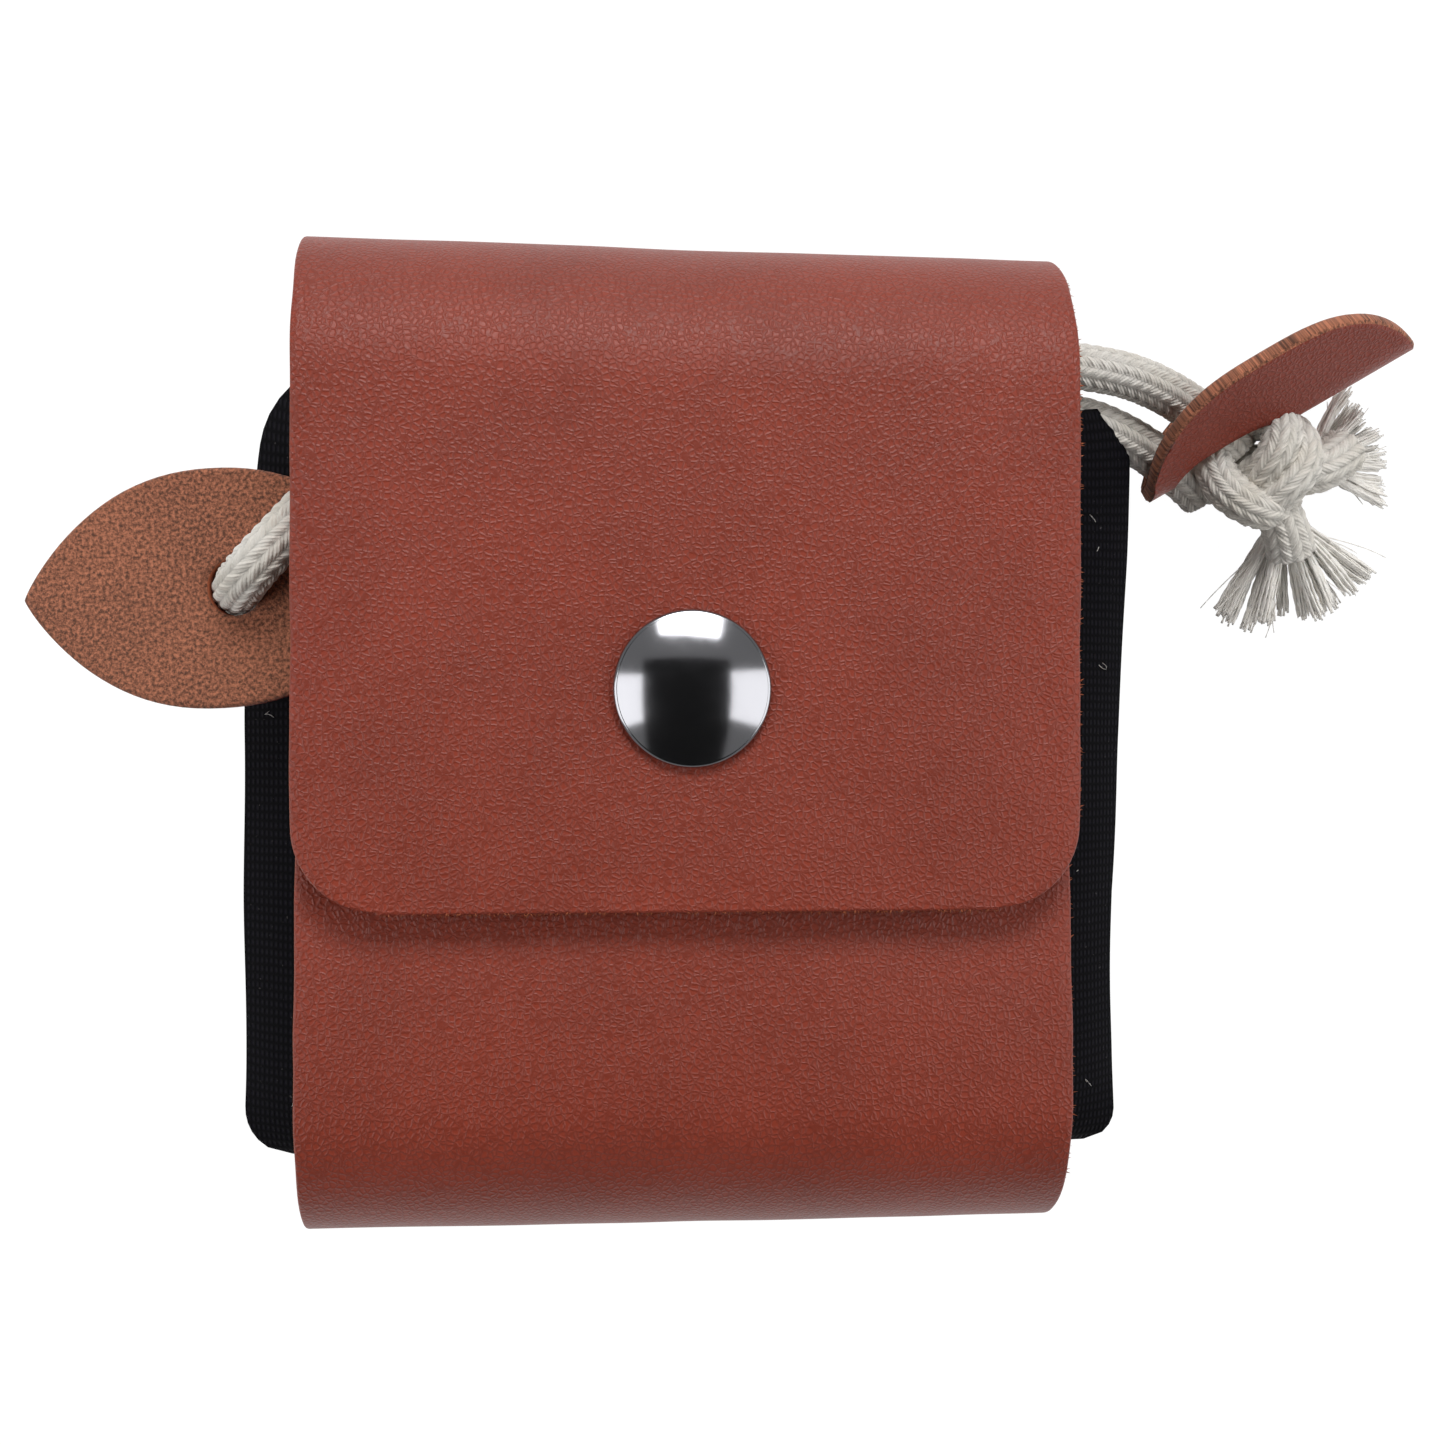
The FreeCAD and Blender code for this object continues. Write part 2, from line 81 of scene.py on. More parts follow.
class BagSizes(bpy.types.PropertyGroup):
    """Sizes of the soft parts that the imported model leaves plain."""
    leather: bpy.props.FloatProperty(
        name="Leather", description="Thickness of the leather", default=1.8 * MM, unit="LENGTH")
    flap_corner: bpy.props.FloatProperty(
        name="Flap corner", description="Corner radius of the flap", default=8.0 * MM, unit="LENGTH")
    canvas: bpy.props.FloatProperty(
        name="Canvas", description="Thickness of the lined canvas", default=1.0 * MM, unit="LENGTH")
    cord_radius: bpy.props.FloatProperty(
        name="Cord radius", description="Radius of the cotton cord", default=2.5 * MM, unit="LENGTH")
    braid_columns: bpy.props.IntProperty(
        name="Braid columns", description="Columns of slanted yarns round the cord", default=12)
    braid_pitch: bpy.props.FloatProperty(
        name="Braid pitch", description="Distance from yarn to yarn along the cord", default=1.35 * MM,
        unit="LENGTH")
    fray_bundles: bpy.props.IntProperty(
        name="Frayed bundles", description="Bundles of fibres in each frayed tail", default=15)
    bundle_fibres: bpy.props.IntProperty(
        name="Bundle fibres", description="Fibres in each bundle", default=26)


class BagColours(bpy.types.PropertyGroup):
    """Colours of the finishes, in sRGB hex."""
    leather: bpy.props.StringProperty(name="Leather", description="Grain side", default="#8A3522")
    cut_edge: bpy.props.StringProperty(name="Cut edge", description="Raw edge of the leather",
                                       default="#A05636")
    suede: bpy.props.StringProperty(name="Suede", description="Flesh side", default="#8F5941")
    canvas: bpy.props.StringProperty(name="Canvas", description="Black webbing", default="#0D0C11")
    cotton: bpy.props.StringProperty(name="Cotton", description="Unbleached cord", default="#E2DED7")
    nickel: bpy.props.StringProperty(name="Black nickel", description="Snap", default="#9C9CA0")
    floor: bpy.props.StringProperty(name="Floor", description="Paper under the bag", default="#F4F4F4")


def sizes():
    return bpy.context.scene.bag_sizes


def colours():
    return bpy.context.scene.bag_colours


def linear(code):
    """An sRGB hex colour as linear values."""
    channels = [int(code[i:i + 2], 16) / 255 for i in (1, 3, 5)]
    return (*[c / 12.92 if c <= 0.04045 else ((c + 0.055) / 1.055) ** 2.4 for c in channels], 1.0)


# ---------------------------------------------------------------- materials

def connect(tree, node, inputs):
    """Gives each named input of a node a value or a link."""
    for name, value in inputs.items():
        if isinstance(value, bpy.types.NodeSocket):
            tree.links.new(value, node.inputs[name])
        else:
            node.inputs[name].default_value = value


def add(tree, kind, inputs=(), stops=(), **settings):
    """Adds a node with its attributes and inputs, and with its stops if it is a colour ramp."""
    node = tree.nodes.new(kind)
    for name, value in settings.items():
        setattr(node, name, value)
    connect(tree, node, dict(inputs))
    if stops:
        elements = node.color_ramp.elements
        while len(elements) < len(stops):
            elements.new(0.5)
        for element, (place, colour) in zip(elements, stops):
            element.position = place
            element.color = colour
    return node


def new_material(name):
    material = bpy.data.materials.new(name)
    material.use_nodes = True
    tree = material.node_tree
    return material, tree, tree.nodes["Principled BSDF"]


def shade_of(colour, gain):
    return (*[min(1.0, channel * gain) for channel in colour[:3]], 1.0)


def metres_in_pattern(tree, cell):
    """The surface's own flat coordinates, scaled so that one pattern cell is this many metres."""
    uv = add(tree, "ShaderNodeUVMap", uv_map="flat").outputs["UV"]
    return add(tree, "ShaderNodeMapping", {"Vector": uv, "Scale": (1 / cell,) * 3}).outputs["Vector"]


def pebbled_leather():
    """Chrome-tanned cowhide, plated with a pebble grain of 0.58 mm and finished semi-gloss.

    The plates catch light on their rounded tops, the creases between them stay dull and are painted darker
    as painted shade.
    """
    material, tree, shader = new_material("cowhide_pebbled_semigloss")
    base = linear(colours().leather)
    cells = metres_in_pattern(tree, 0.58 * MM)
    warp = add(tree, "ShaderNodeTexNoise", {"Vector": cells, "Scale": 0.6, "Detail": 2.0})
    bent = add(tree, "ShaderNodeVectorMath", {0: cells, 1: warp.outputs["Color"]}, operation="ADD")
    plates = add(tree, "ShaderNodeTexVoronoi", {"Vector": bent.outputs[0], "Scale": 1.0},
                 feature="DISTANCE_TO_EDGE")
    creases = add(tree, "ShaderNodeMapRange", {"Value": plates.outputs["Distance"], "From Max": 0.28},
                  interpolation_type="SMOOTHSTEP")
    fine = add(tree, "ShaderNodeTexNoise", {"Vector": cells, "Scale": 2.6, "Detail": 3.0})
    broad = add(tree, "ShaderNodeTexNoise", {"Vector": cells, "Scale": 0.035, "Detail": 3.0,
                                             "Roughness": 0.6})
    tone = add(tree, "ShaderNodeValToRGB", {"Fac": broad.outputs["Fac"]},
               stops=[(0.3, shade_of(base, 0.9)), (0.7, shade_of(base, 1.1))])
    # painted shade: the colour is multiplied down to 0.8 in the creases between the plates, on top of their
    # bump
    depth = add(tree, "ShaderNodeMapRange", {"Value": creases.outputs[0], "To Min": 0.80})
    colour = add(tree, "ShaderNodeMix", {0: 1.0, 6: tone.outputs[0], 7: depth.outputs[0]},
                 data_type="RGBA", blend_type="MULTIPLY")
    rough = add(tree, "ShaderNodeMapRange", {"Value": fine.outputs["Fac"], "To Min": 0.36, "To Max": 0.54})
    height = add(tree, "ShaderNodeMath", {0: fine.outputs["Fac"], 1: 0.22, 2: creases.outputs[0]},
                 operation="MULTIPLY_ADD")
    bump = add(tree, "ShaderNodeBump", {"Height": height.outputs[0], "Strength": 0.55,
                                        "Distance": 0.10 * MM})
    connect(tree, shader, {"Base Color": colour.outputs[2], "Roughness": rough.outputs[0],
                           "Normal": bump.outputs[0], "IOR": 1.5, "Specular IOR Level": 0.44})
    return material


def raw_cut_edge():
    """Cowhide cut with a knife and left raw: lighter than the grain side, matt and fibrous."""
    material, tree, shader = new_material("cowhide_cut_edge_raw")
    base = linear(colours().cut_edge)
    place = add(tree, "ShaderNodeTexCoord").outputs["Object"]
    fibres = add(tree, "ShaderNodeTexNoise", {"Vector": place, "Scale": 2600.0, "Detail": 4.0})
    tone = add(tree, "ShaderNodeValToRGB", {"Fac": fibres.outputs["Fac"]},
               stops=[(0.3, shade_of(base, 0.7)), (0.7, shade_of(base, 1.2))])
    bump = add(tree, "ShaderNodeBump", {"Height": fibres.outputs["Fac"], "Strength": 0.5,
                                        "Distance": 0.1 * MM})
    connect(tree, shader, {"Base Color": tone.outputs[0], "Normal": bump.outputs[0], "Roughness": 0.9})
    return material


def napped_suede():
    """The flesh side of cowhide, split and sanded: short nap in clumps of 0.36 mm, no gloss."""
    material, tree, shader = new_material("cowhide_flesh_side_sanded")
    base = linear(colours().suede)
    cells = metres_in_pattern(tree, 0.36 * MM)
    nap = add(tree, "ShaderNodeTexNoise", {"Vector": cells, "Scale": 1.0, "Detail": 3.0, "Roughness": 0.7})
    broad = add(tree, "ShaderNodeTexNoise", {"Vector": cells, "Scale": 0.03, "Detail": 2.0})
    height = add(tree, "ShaderNodeMath", {0: broad.outputs["Fac"], 1: 0.12, 2: nap.outputs["Fac"]},
                 operation="MULTIPLY_ADD")
    tone = add(tree, "ShaderNodeValToRGB", {"Fac": height.outputs[0]},
               stops=[(0.44, shade_of(base, 0.36)), (0.56, base), (0.70, shade_of(base, 1.9))])
    bump = add(tree, "ShaderNodeBump", {"Height": nap.outputs["Fac"], "Strength": 0.9,
                                        "Distance": 0.25 * MM})
    connect(tree, shader, {"Base Color": tone.outputs[0], "Normal": bump.outputs[0], "Roughness": 0.95,
                           "Sheen Weight": 0.12, "Sheen Roughness": 0.5})
    return material


def ribbed_canvas():
    """Black cotton webbing canvas, woven, matt, with faint specks of lint.

    Its ribs stand 0.54 mm apart and its cross threads 0.86 mm, coarser than a real weave, to show at all.
    """
    material, tree, shader = new_material("cotton_webbing_black_woven")
    base = linear(colours().canvas)
    cells = metres_in_pattern(tree, 0.55 * MM)
    ribs = add(tree, "ShaderNodeTexWave", {"Vector": cells, "Scale": 0.32, "Distortion": 0.6,
                                           "Detail": 1.0}, bands_direction="X")
    picks = add(tree, "ShaderNodeTexWave", {"Vector": cells, "Scale": 0.20, "Distortion": 0.8,
                                            "Detail": 1.0}, bands_direction="Y")
    weave = add(tree, "ShaderNodeMath", {0: ribs.outputs["Fac"], 1: picks.outputs["Fac"]},
                operation="MULTIPLY")
    lint = add(tree, "ShaderNodeTexNoise", {"Vector": cells, "Scale": 1.1, "Detail": 5.0})
    # painted shade and painted light: the ramp darkens the hollows of the weave to 0.45 and lightens the
    # thread crowns to 1.7 of the base, on top of the weave's bump
    tone = add(tree, "ShaderNodeValToRGB", {"Fac": weave.outputs[0]},
               stops=[(0.0, shade_of(base, 0.45)), (0.8, shade_of(base, 1.7))])
    specks = add(tree, "ShaderNodeValToRGB", {"Fac": lint.outputs["Fac"]},
                 stops=[(0.69, (0, 0, 0, 1)), (0.80, (0.12, 0.11, 0.11, 1))])
    colour = add(tree, "ShaderNodeMix", {0: 1.0, 6: tone.outputs[0], 7: specks.outputs[0]},
                 data_type="RGBA", blend_type="ADD")
    bump = add(tree, "ShaderNodeBump", {"Height": weave.outputs[0], "Strength": 0.8,
                                        "Distance": 0.18 * MM})
    connect(tree, shader, {"Base Color": colour.outputs[2], "Normal": bump.outputs[0],
                           "Roughness": 0.92, "Specular IOR Level": 0.08})
    return material


def braided_cotton():
    """Unbleached cotton cord: soft yarns whose fibres run along each slanted stitch, with painted shade that
    darkens the grooves between them.
    """
    material, tree, shader = new_material("cotton_cord_braided")
    base = linear(colours().cotton)
    uv = add(tree, "ShaderNodeUVMap", uv_map="flat").outputs["UV"]
    split = add(tree, "ShaderNodeSeparateXYZ", {"Vector": uv})
    plies = add(tree, "ShaderNodeMath", {0: split.outputs["X"], 1: TURN * 3}, operation="MULTIPLY")
    ridges = add(tree, "ShaderNodeMath", {0: plies.outputs[0]}, operation="SINE")
    place = add(tree, "ShaderNodeTexCoord").outputs["Object"]
    fuzz = add(tree, "ShaderNodeTexNoise", {"Vector": place, "Scale": 3200.0, "Detail": 3.0})
    broad = add(tree, "ShaderNodeTexNoise", {"Vector": place, "Scale": 220.0, "Detail": 2.0})
    height = add(tree, "ShaderNodeMath", {0: ridges.outputs[0], 1: 0.35, 2: fuzz.outputs["Fac"]},
                 operation="MULTIPLY_ADD")
    # painted shade: the colour falls to 0.42 of the cotton in the braid's grooves and rises to full on the
    # yarns' backs
    groove_shade = add(tree, "ShaderNodeValToRGB", {"Fac": split.outputs["Y"]},
                 stops=[(0.0, shade_of(base, 0.42)), (0.35, shade_of(base, 0.86)), (0.8, base)])
    tone = add(tree, "ShaderNodeValToRGB", {"Fac": broad.outputs["Fac"]},
               stops=[(0.3, (0.86, 0.84, 0.80, 1)), (0.7, (1, 1, 1, 1))])
    colour = add(tree, "ShaderNodeMix", {0: 1.0, 6: groove_shade.outputs[0], 7: tone.outputs[0]},
                 data_type="RGBA", blend_type="MULTIPLY")
    bump = add(tree, "ShaderNodeBump", {"Height": height.outputs[0], "Strength": 0.7,
                                        "Distance": 0.12 * MM})
    connect(tree, shader, {"Base Color": colour.outputs[2], "Normal": bump.outputs[0],
                           "Roughness": 0.9, "Sheen Weight": 0.3})
    return material


def loose_cotton_fibres():
    """Combed-out cotton: matt single fibres with a bright fuzz, so a bundle looks soft and pale; their
    colour is the cord's cotton made 1.22 times brighter, painted light against the shade inside a bundle.
    """
    material, tree, shader = new_material("cotton_fibres_loose")
    # painted light: the cord's cotton brightened 1.22 times to make up for the shade the fibres throw on
    # each other
    connect(tree, shader, {"Base Color": shade_of(linear(colours().cotton), 1.22), "Roughness": 1.0,
                           "Specular IOR Level": 0.1, "Sheen Weight": 0.8, "Sheen Roughness": 0.6})
    return material


def polished_black_nickel():
    """Brass snap plated with black nickel and polished: a mirror that greys what it shows, faintly hazed."""
    material, tree, shader = new_material("brass_black_nickel_polished")
    place = add(tree, "ShaderNodeTexCoord").outputs["Object"]
    haze = add(tree, "ShaderNodeTexNoise", {"Vector": place, "Scale": 900.0, "Detail": 4.0})
    rough = add(tree, "ShaderNodeMapRange", {"Value": haze.outputs["Fac"], "To Min": 0.10, "To Max": 0.17})
    connect(tree, shader, {"Base Color": linear(colours().nickel), "Metallic": 1.0,
                           "Roughness": rough.outputs[0]})
    return material


MAKERS = {
    "leather": pebbled_leather, "edge": raw_cut_edge, "suede": napped_suede, "canvas": ribbed_canvas,
    "cotton": braided_cotton, "fibres": loose_cotton_fibres, "nickel": polished_black_nickel,
}
MATERIALS = {}


def material(name):
    """Each finish is made once and shared."""
    if name not in MATERIALS:
        MATERIALS[name] = MAKERS[name]()
    return MATERIALS[name]


# ---------------------------------------------------------------- mesh building

class Build:
    """Vertices, faces, face materials and flat coordinates of a mesh in the making."""

    def __init__(self):
        self.points = []
        self.flat = []
        self.faces = []
        self.slots = []

    def point(self, place, flat):
        self.points.append(tuple(place))
        self.flat.append(flat)
        return len(self.points) - 1

    def face(self, corners, slot=0):
        self.faces.append(corners)
        self.slots.append(slot)

    def bridge(self, one, other, slot=0, closed=True):
        """Quads between two rows of points."""
        count = len(one)
        for i in range(count if closed else count - 1):
            j = (i + 1) % count
            self.face((one[i], one[j], other[j], other[i]), slot)

    def finish(self, name, finishes):
        mesh = bpy.data.meshes.new(name)
        mesh.from_pydata(self.points, [], self.faces)
        mesh.validate()
        layer = mesh.uv_layers.new(name="flat")
        for loop in mesh.loops:
            layer.data[loop.index].uv = self.flat[loop.vertex_index]
        for finish in finishes:
            mesh.materials.append(material(finish))
        for polygon, slot in zip(mesh.polygons, self.slots):
            polygon.material_index = slot
            polygon.use_smooth = True
        obj = bpy.data.objects.new(name, mesh)
        bpy.context.scene.collection.objects.link(obj)
        return obj


def wander(x, y, scale, seed=0.0):
    """Smooth noise from -1 to 1 that changes over this many metres."""
    return noise.noise(Vector((x / scale + seed, y / scale - seed, seed * 3.7)))


# ---------------------------------------------------------------- leather strip

TOP_RADIUS = FLAP_HIGH.z / 2
BOTTOM_RADIUS = BODY_HIGH.z / 2
TOP_CENTRE = BEND_HIGH.y - TOP_RADIUS
BOTTOM_CENTRE = BODY_LOW.y + BOTTOM_RADIUS
FRONT_END = 11.0 * MM
STRIP_HALF = FLAP_HIGH.x

FRONT_RUN = FRONT_END - BOTTOM_CENTRE
BOTTOM_RUN = math.pi * BOTTOM_RADIUS
BACK_RUN = TOP_CENTRE - BOTTOM_CENTRE
TOP_RUN = math.pi * TOP_RADIUS
FLAP_RUN = TOP_CENTRE - FLAP_LOW.y
BEND_MIDDLE = FRONT_RUN + BOTTOM_RUN + BACK_RUN + TOP_RUN / 2
STRIP_RUN = BEND_MIDDLE + TOP_RUN / 2 + FLAP_RUN
EDGE_ROUND = 0.3 * MM
ACROSS = 56
ROW = 1.1 * MM
SNAP_DIP = 0.35 * MM
SNAP_DIP_REACH = 11 * MM
FRONT_BULGE = 2.1 * MM
FRONT_BULGE_REACH = 21 * MM
BEND_SKEW = 0.5 * MM


def strip_line(run):
    """Place (y, z) and outward normal (y, z) of the strip's grain side, this far from its hidden end."""
    if run < FRONT_RUN:
        return FRONT_END - run, 2 * BOTTOM_RADIUS, 0.0, 1.0
    run -= FRONT_RUN
    if run < BOTTOM_RUN:
        angle = math.pi / 2 + run / BOTTOM_RADIUS
        out = (math.cos(angle), math.sin(angle))
        return BOTTOM_CENTRE + BOTTOM_RADIUS * out[0], BOTTOM_RADIUS * (1 + out[1]), *out
    run -= BOTTOM_RUN
    if run < BACK_RUN:
        return BOTTOM_CENTRE + run, 0.0, 0.0, -1.0
    run -= BACK_RUN
    if run < TOP_RUN:
        angle = -math.pi / 2 + run / TOP_RADIUS
        out = (math.cos(angle), math.sin(angle))
        return TOP_CENTRE + TOP_RADIUS * out[0], TOP_RADIUS * (1 + out[1]), *out
    run -= TOP_RUN
    return TOP_CENTRE - run, 2 * TOP_RADIUS, 0.0, 1.0


def strip_swell(x, run):
    """How far the grain side stands off its plain form: slack waves, none on the back, a dip at the snap."""
    y, _, out_y, out_z = strip_line(run)
    loose = 0.5 + 0.5 * out_z
    wave = 0.22 * MM * wander(x, run, 24 * MM, 2.0) + 0.10 * MM * wander(x, run, 9 * MM, 5.0)
    swell = wave * loose
    fullness = math.exp(-((run - FRONT_RUN + 4 * MM) / FRONT_BULGE_REACH) ** 2)
    if run < FRONT_RUN + BOTTOM_RUN:
        swell += FRONT_BULGE * fullness * loose ** 0.6
    elif out_y > 0:
        swell += BEND_SKEW * (-x / STRIP_HALF) * out_y
    if run > BEND_MIDDLE:
        reach = math.hypot(x, y - (CAP_LOW.y + CAP_HIGH.y) / 2)
        swell -= SNAP_DIP * math.exp(-(reach / SNAP_DIP_REACH) ** 2)
    return swell * min(1.0, loose * 3)


def strip_half_width(run):
    """Half the strip's width: straight, a little uneven where it was cut, round at the flap's corners."""
    corner = sizes().flap_corner
    half = STRIP_HALF + 0.12 * MM * wander(run, 0.0, 6 * MM, 9.0)
    past = run - (STRIP_RUN - EDGE_ROUND - corner)
    if past > 0:
        half += math.sqrt(max(corner ** 2 - past ** 2, 0.0)) - corner
    return half


def strip_place(x, run, depth):
    y, z, out_y, out_z = strip_line(run)
    lift = strip_swell(x, run) - depth
    return x, y + out_y * lift, z + out_z * lift


def strip_runs(start, end, pinch_start, pinch_end):
    """Rows along the strip, with a few close rows where an end is rounded, and each row's pinch."""
    corner = sizes().flap_corner
    count = round((end - start) / ROW)
    low = start + EDGE_ROUND if pinch_start else start
    high = end - EDGE_ROUND if pinch_end else end
    rows = [min(max(start + (end - start) * i / count, low), high) for i in range(count + 1)]
    if pinch_end:
        rows += [high - corner * (1 - math.sin(math.radians(a))) for a in range(10, 88, 6)]
    pinched = [(row, 0.0) for row in sorted(set(rows))]
    bends = [math.radians(a) for a in (30, 60, 90)]
    rounds = [(EDGE_ROUND * math.sin(a), EDGE_ROUND * (1 - math.cos(a))) for a in bends]
    if pinch_start:
        pinched = [(low - past, pinch) for past, pinch in reversed(rounds)] + pinched
    if pinch_end:
        pinched += [(high + past, pinch) for past, pinch in rounds]
    return pinched


def strip_section(run, pinch):
    """The strip's section as (x, depth, finish) points: grain side, edge, flesh side, edge."""
    thick = sizes().leather
    half = strip_half_width(min(run, STRIP_RUN - EDGE_ROUND))
    flat = half - EDGE_ROUND
    bends = [math.radians(a) for a in (0, 30, 60, 90)]
    points = [(-flat + 2 * flat * i / ACROSS, pinch, 0) for i in range(ACROSS + 1)]
    edge = [(flat + EDGE_ROUND * math.sin(a), max(pinch, EDGE_ROUND * (1 - math.cos(a)))) for a in bends[1:]]
    edge += [(flat + EDGE_ROUND * math.cos(a), min(thick - pinch, thick - EDGE_ROUND * (1 - math.sin(a))))
             for a in bends[:-1]]
    finishes = [0, 0, 1, 1, 1, 1]
    points += [(x, depth, finish) for (x, depth), finish in zip(edge, finishes)]
    points += [(flat - 2 * flat * i / ACROSS, thick - pinch, 2) for i in range(ACROSS + 1)]
    points += [(-x, depth, finish) for (x, depth), finish in zip(reversed(edge), reversed(finishes))]
    return points


def leather_piece(name, start, end, pinch_start, pinch_end):
    """The strip between two runs, rounded and closed at each end that is pinched."""
    build = Build()
    loops = []
    for run, pinch in strip_runs(start, end, pinch_start, pinch_end):
        section = strip_section(run, pinch)
        row = [build.point(strip_place(x, run, depth), (x, run + depth)) for x, depth, _ in section]
        kinds = [kind for _, _, kind in section]
        for i in range(len(row) if loops else 0):
            j = (i + 1) % len(row)
            slot = kinds[i] if kinds[i] == kinds[j] else 1
            build.face((loops[-1][i], loops[-1][j], row[j], row[i]), slot)
        loops.append(row)
    if pinch_start:
        cap_strip_end(build, loops[0], False)
    if pinch_end:
        cap_strip_end(build, loops[-1], True)
    return build.finish(name, ["leather", "edge", "suede"])


def cap_strip_end(build, row, last):
    """Closes an end: quads from the grain side to the flesh side, and one face at each edge."""
    edge_points = len(row) // 2 - (ACROSS + 1)
    flesh = ACROSS + 1 + edge_points
    patches = [(i, i + 1, flesh + ACROSS - i - 1, flesh + ACROSS - i) for i in range(ACROSS)]
    patches.append(range(ACROSS, flesh + 1))
    patches.append([*range(flesh + ACROSS, len(row)), 0])
    for patch in patches:
        corners = tuple(row[i] for i in patch)
        build.face(corners if last else corners[::-1], 1)


def edge_fibres(name, start, end, amount, seed, across_end=0):
    """Short pale fibres that stand out of the raw right edge, and of the free end when asked."""
    chance = random.Random(seed)
    build = Build()
    for number in range(amount + across_end):
        run = chance.uniform(start, end)
        depth = chance.uniform(0.2, 1.5) * MM
        aim = Vector((1.0, 0.0, 0.0))
        x = strip_half_width(run) - 0.1 * MM
        if number >= amount:
            run = STRIP_RUN - 0.1 * MM
            depth = chance.uniform(0.1, 0.7) * MM
            reach_across = STRIP_HALF - sizes().flap_corner
            x = chance.uniform(-reach_across, reach_across)
            aim = Vector((0.0, -1.0, 0.35))
        root = Vector(strip_place(x, run, depth))
        reach = chance.uniform(0.2, 0.6) * MM
        stray = Vector([chance.uniform(-0.7, 0.7) for _ in range(3)])
        lean = (aim + stray).normalized()
        wide = chance.uniform(0.05, 0.13) * MM
        tip = root + lean * reach
        side = lean.orthogonal().normalized()
        ring = []
        for k in range(3):
            spin = Matrix.Rotation(TURN * k / 3, 3, lean) @ side
            ring.append(build.point(root + spin * wide, (0.0, 0.0)))
        point = build.point(tip + side * wide * 0.4, (0.0, 0.0))
        for k in range(3):
            build.face((ring[k], ring[(k + 1) % 3], point))
        build.face((ring[2], ring[1], ring[0]))
    return build.finish(name, ["edge"])


# ---------------------------------------------------------------- canvas pouch

POUCH_HALF = (POUCH_HIGH.x - POUCH_LOW.x) / 2
POUCH_MIDDLE = (POUCH_HIGH.x + POUCH_LOW.x) / 2
POUCH_SEAM = POUCH_LOW.z
POUCH_RISE = POUCH_HIGH.z - POUCH_SEAM
POUCH_DROP = POUCH_SEAM - POUCH_BACK_LOW.z
CLOSED_END = POUCH_LOW.y - 3.2 * MM
MOUTH_LEFT = 36.4 * MM
MOUTH_RIGHT = 35.2 * MM
POUCH_ROWS = 70
POUCH_ROUND = 132
CORNER_LEFT = 5.0 * MM
CORNER_RIGHT = 3.4 * MM
DRAWN_LEFT = 2.4 * MM
FLARED_RIGHT = 2.1 * MM
MOUTH_CORNER = 2.6 * MM


def pouch_width(y, side):
    """Half width of the pouch at this height: its closed corners are turned in, its sides pull in."""
    rise = (y - CLOSED_END) / (POUCH_HIGH.y - CLOSED_END)
    corner = CORNER_LEFT if side < 0 else CORNER_RIGHT
    past = max(0.0, 1 - (y - CLOSED_END) / corner)
    turned = corner * (1 - math.sqrt(max(0.0, 1 - past ** 2)))
    sway = 0.45 * MM * wander(y, side, 17 * MM, 4.0)
    mouth = MOUTH_CORNER * max(0.0, (rise - 0.92) / 0.08) ** 3
    if side < 0:
        drawn = DRAWN_LEFT * max(0.0, (rise - 0.6) / 0.4) ** 2
        return POUCH_HALF - 0.4 * MM - turned - drawn - mouth + sway
    flared = FLARED_RIGHT * max(0.0, (rise - 0.35) / 0.65)
    return POUCH_HALF + 1.7 * MM - turned + flared - mouth + sway


def pouch_place(angle, y, inset):
    """A point of the pouch's skin: front half for angles below half a turn, back half above."""
    across = math.cos(angle)
    side = 1 if across > 0 else -1
    flat = math.copysign(abs(across) ** 0.8, across)
    x = POUCH_MIDDLE + (pouch_width(y, side) - inset) * flat
    closing = min(1.0, ((y - CLOSED_END) / (9 * MM)) ** 0.5 + 0.12)
    if math.sin(angle) >= 0:
        crown = (POUCH_RISE - inset) * (1 - abs(flat) ** 4)
        crease = 0.35 * MM * wander(x, y, 7 * MM, 7.0)
        z = POUCH_SEAM + (crown + crease * (1 - abs(flat) ** 8)) * closing
    else:
        z = POUCH_SEAM - (POUCH_DROP - inset) * (1 - abs(flat) ** 8) * closing
    tilt = (MOUTH_RIGHT - MOUTH_LEFT) / 2 * flat * max(0.0, y / POUCH_HIGH.y) ** 3
    lift = ((MOUTH_RIGHT + MOUTH_LEFT) / 2 - POUCH_HIGH.y) * abs(flat) ** 6 * max(0.0, y / POUCH_HIGH.y) ** 3
    return x, y + tilt * abs(flat) ** 6 + lift, z


def pouch_rows(build, inset, low):
    rows = []
    for j in range(POUCH_ROWS + 1):
        y = low + (POUCH_HIGH.y - low) * (j / POUCH_ROWS) ** 1.1
        row = []
        for i in range(POUCH_ROUND):
            angle = TURN * i / POUCH_ROUND
            place = pouch_place(angle, y, inset)
            fold = 1 if math.sin(angle) >= 0 else -1
            row.append(build.point(place, (place[0] * fold + 0.2, y)))
        rows.append(row)
    return rows


def canvas_lint():
    """A few white cotton fibres caught on the black canvas."""
    chance = random.Random(5)
    build = Build()
    for number in range(12):
        y = chance.uniform(CLOSED_END + 6 * MM, POUCH_HIGH.y - 6 * MM)
        angle = chance.uniform(0.42, 0.62) if number % 3 else math.pi - chance.uniform(0.42, 0.62)
        root = Vector(pouch_place(angle, y, 0.0))
        points = [root + Vector((0, 0, 0.12 * MM))]
        for _ in range(3):
            step = Vector([chance.uniform(-0.7, 0.7) * MM for _ in range(2)] + [0.05 * MM])
            points.append(points[-1] + step)
        yarn(build, spline_points("lint", points), 0.026 * MM, 0.018 * MM, sides=3, slot=0)
    return build.finish("canvas_lint", ["fibres"])


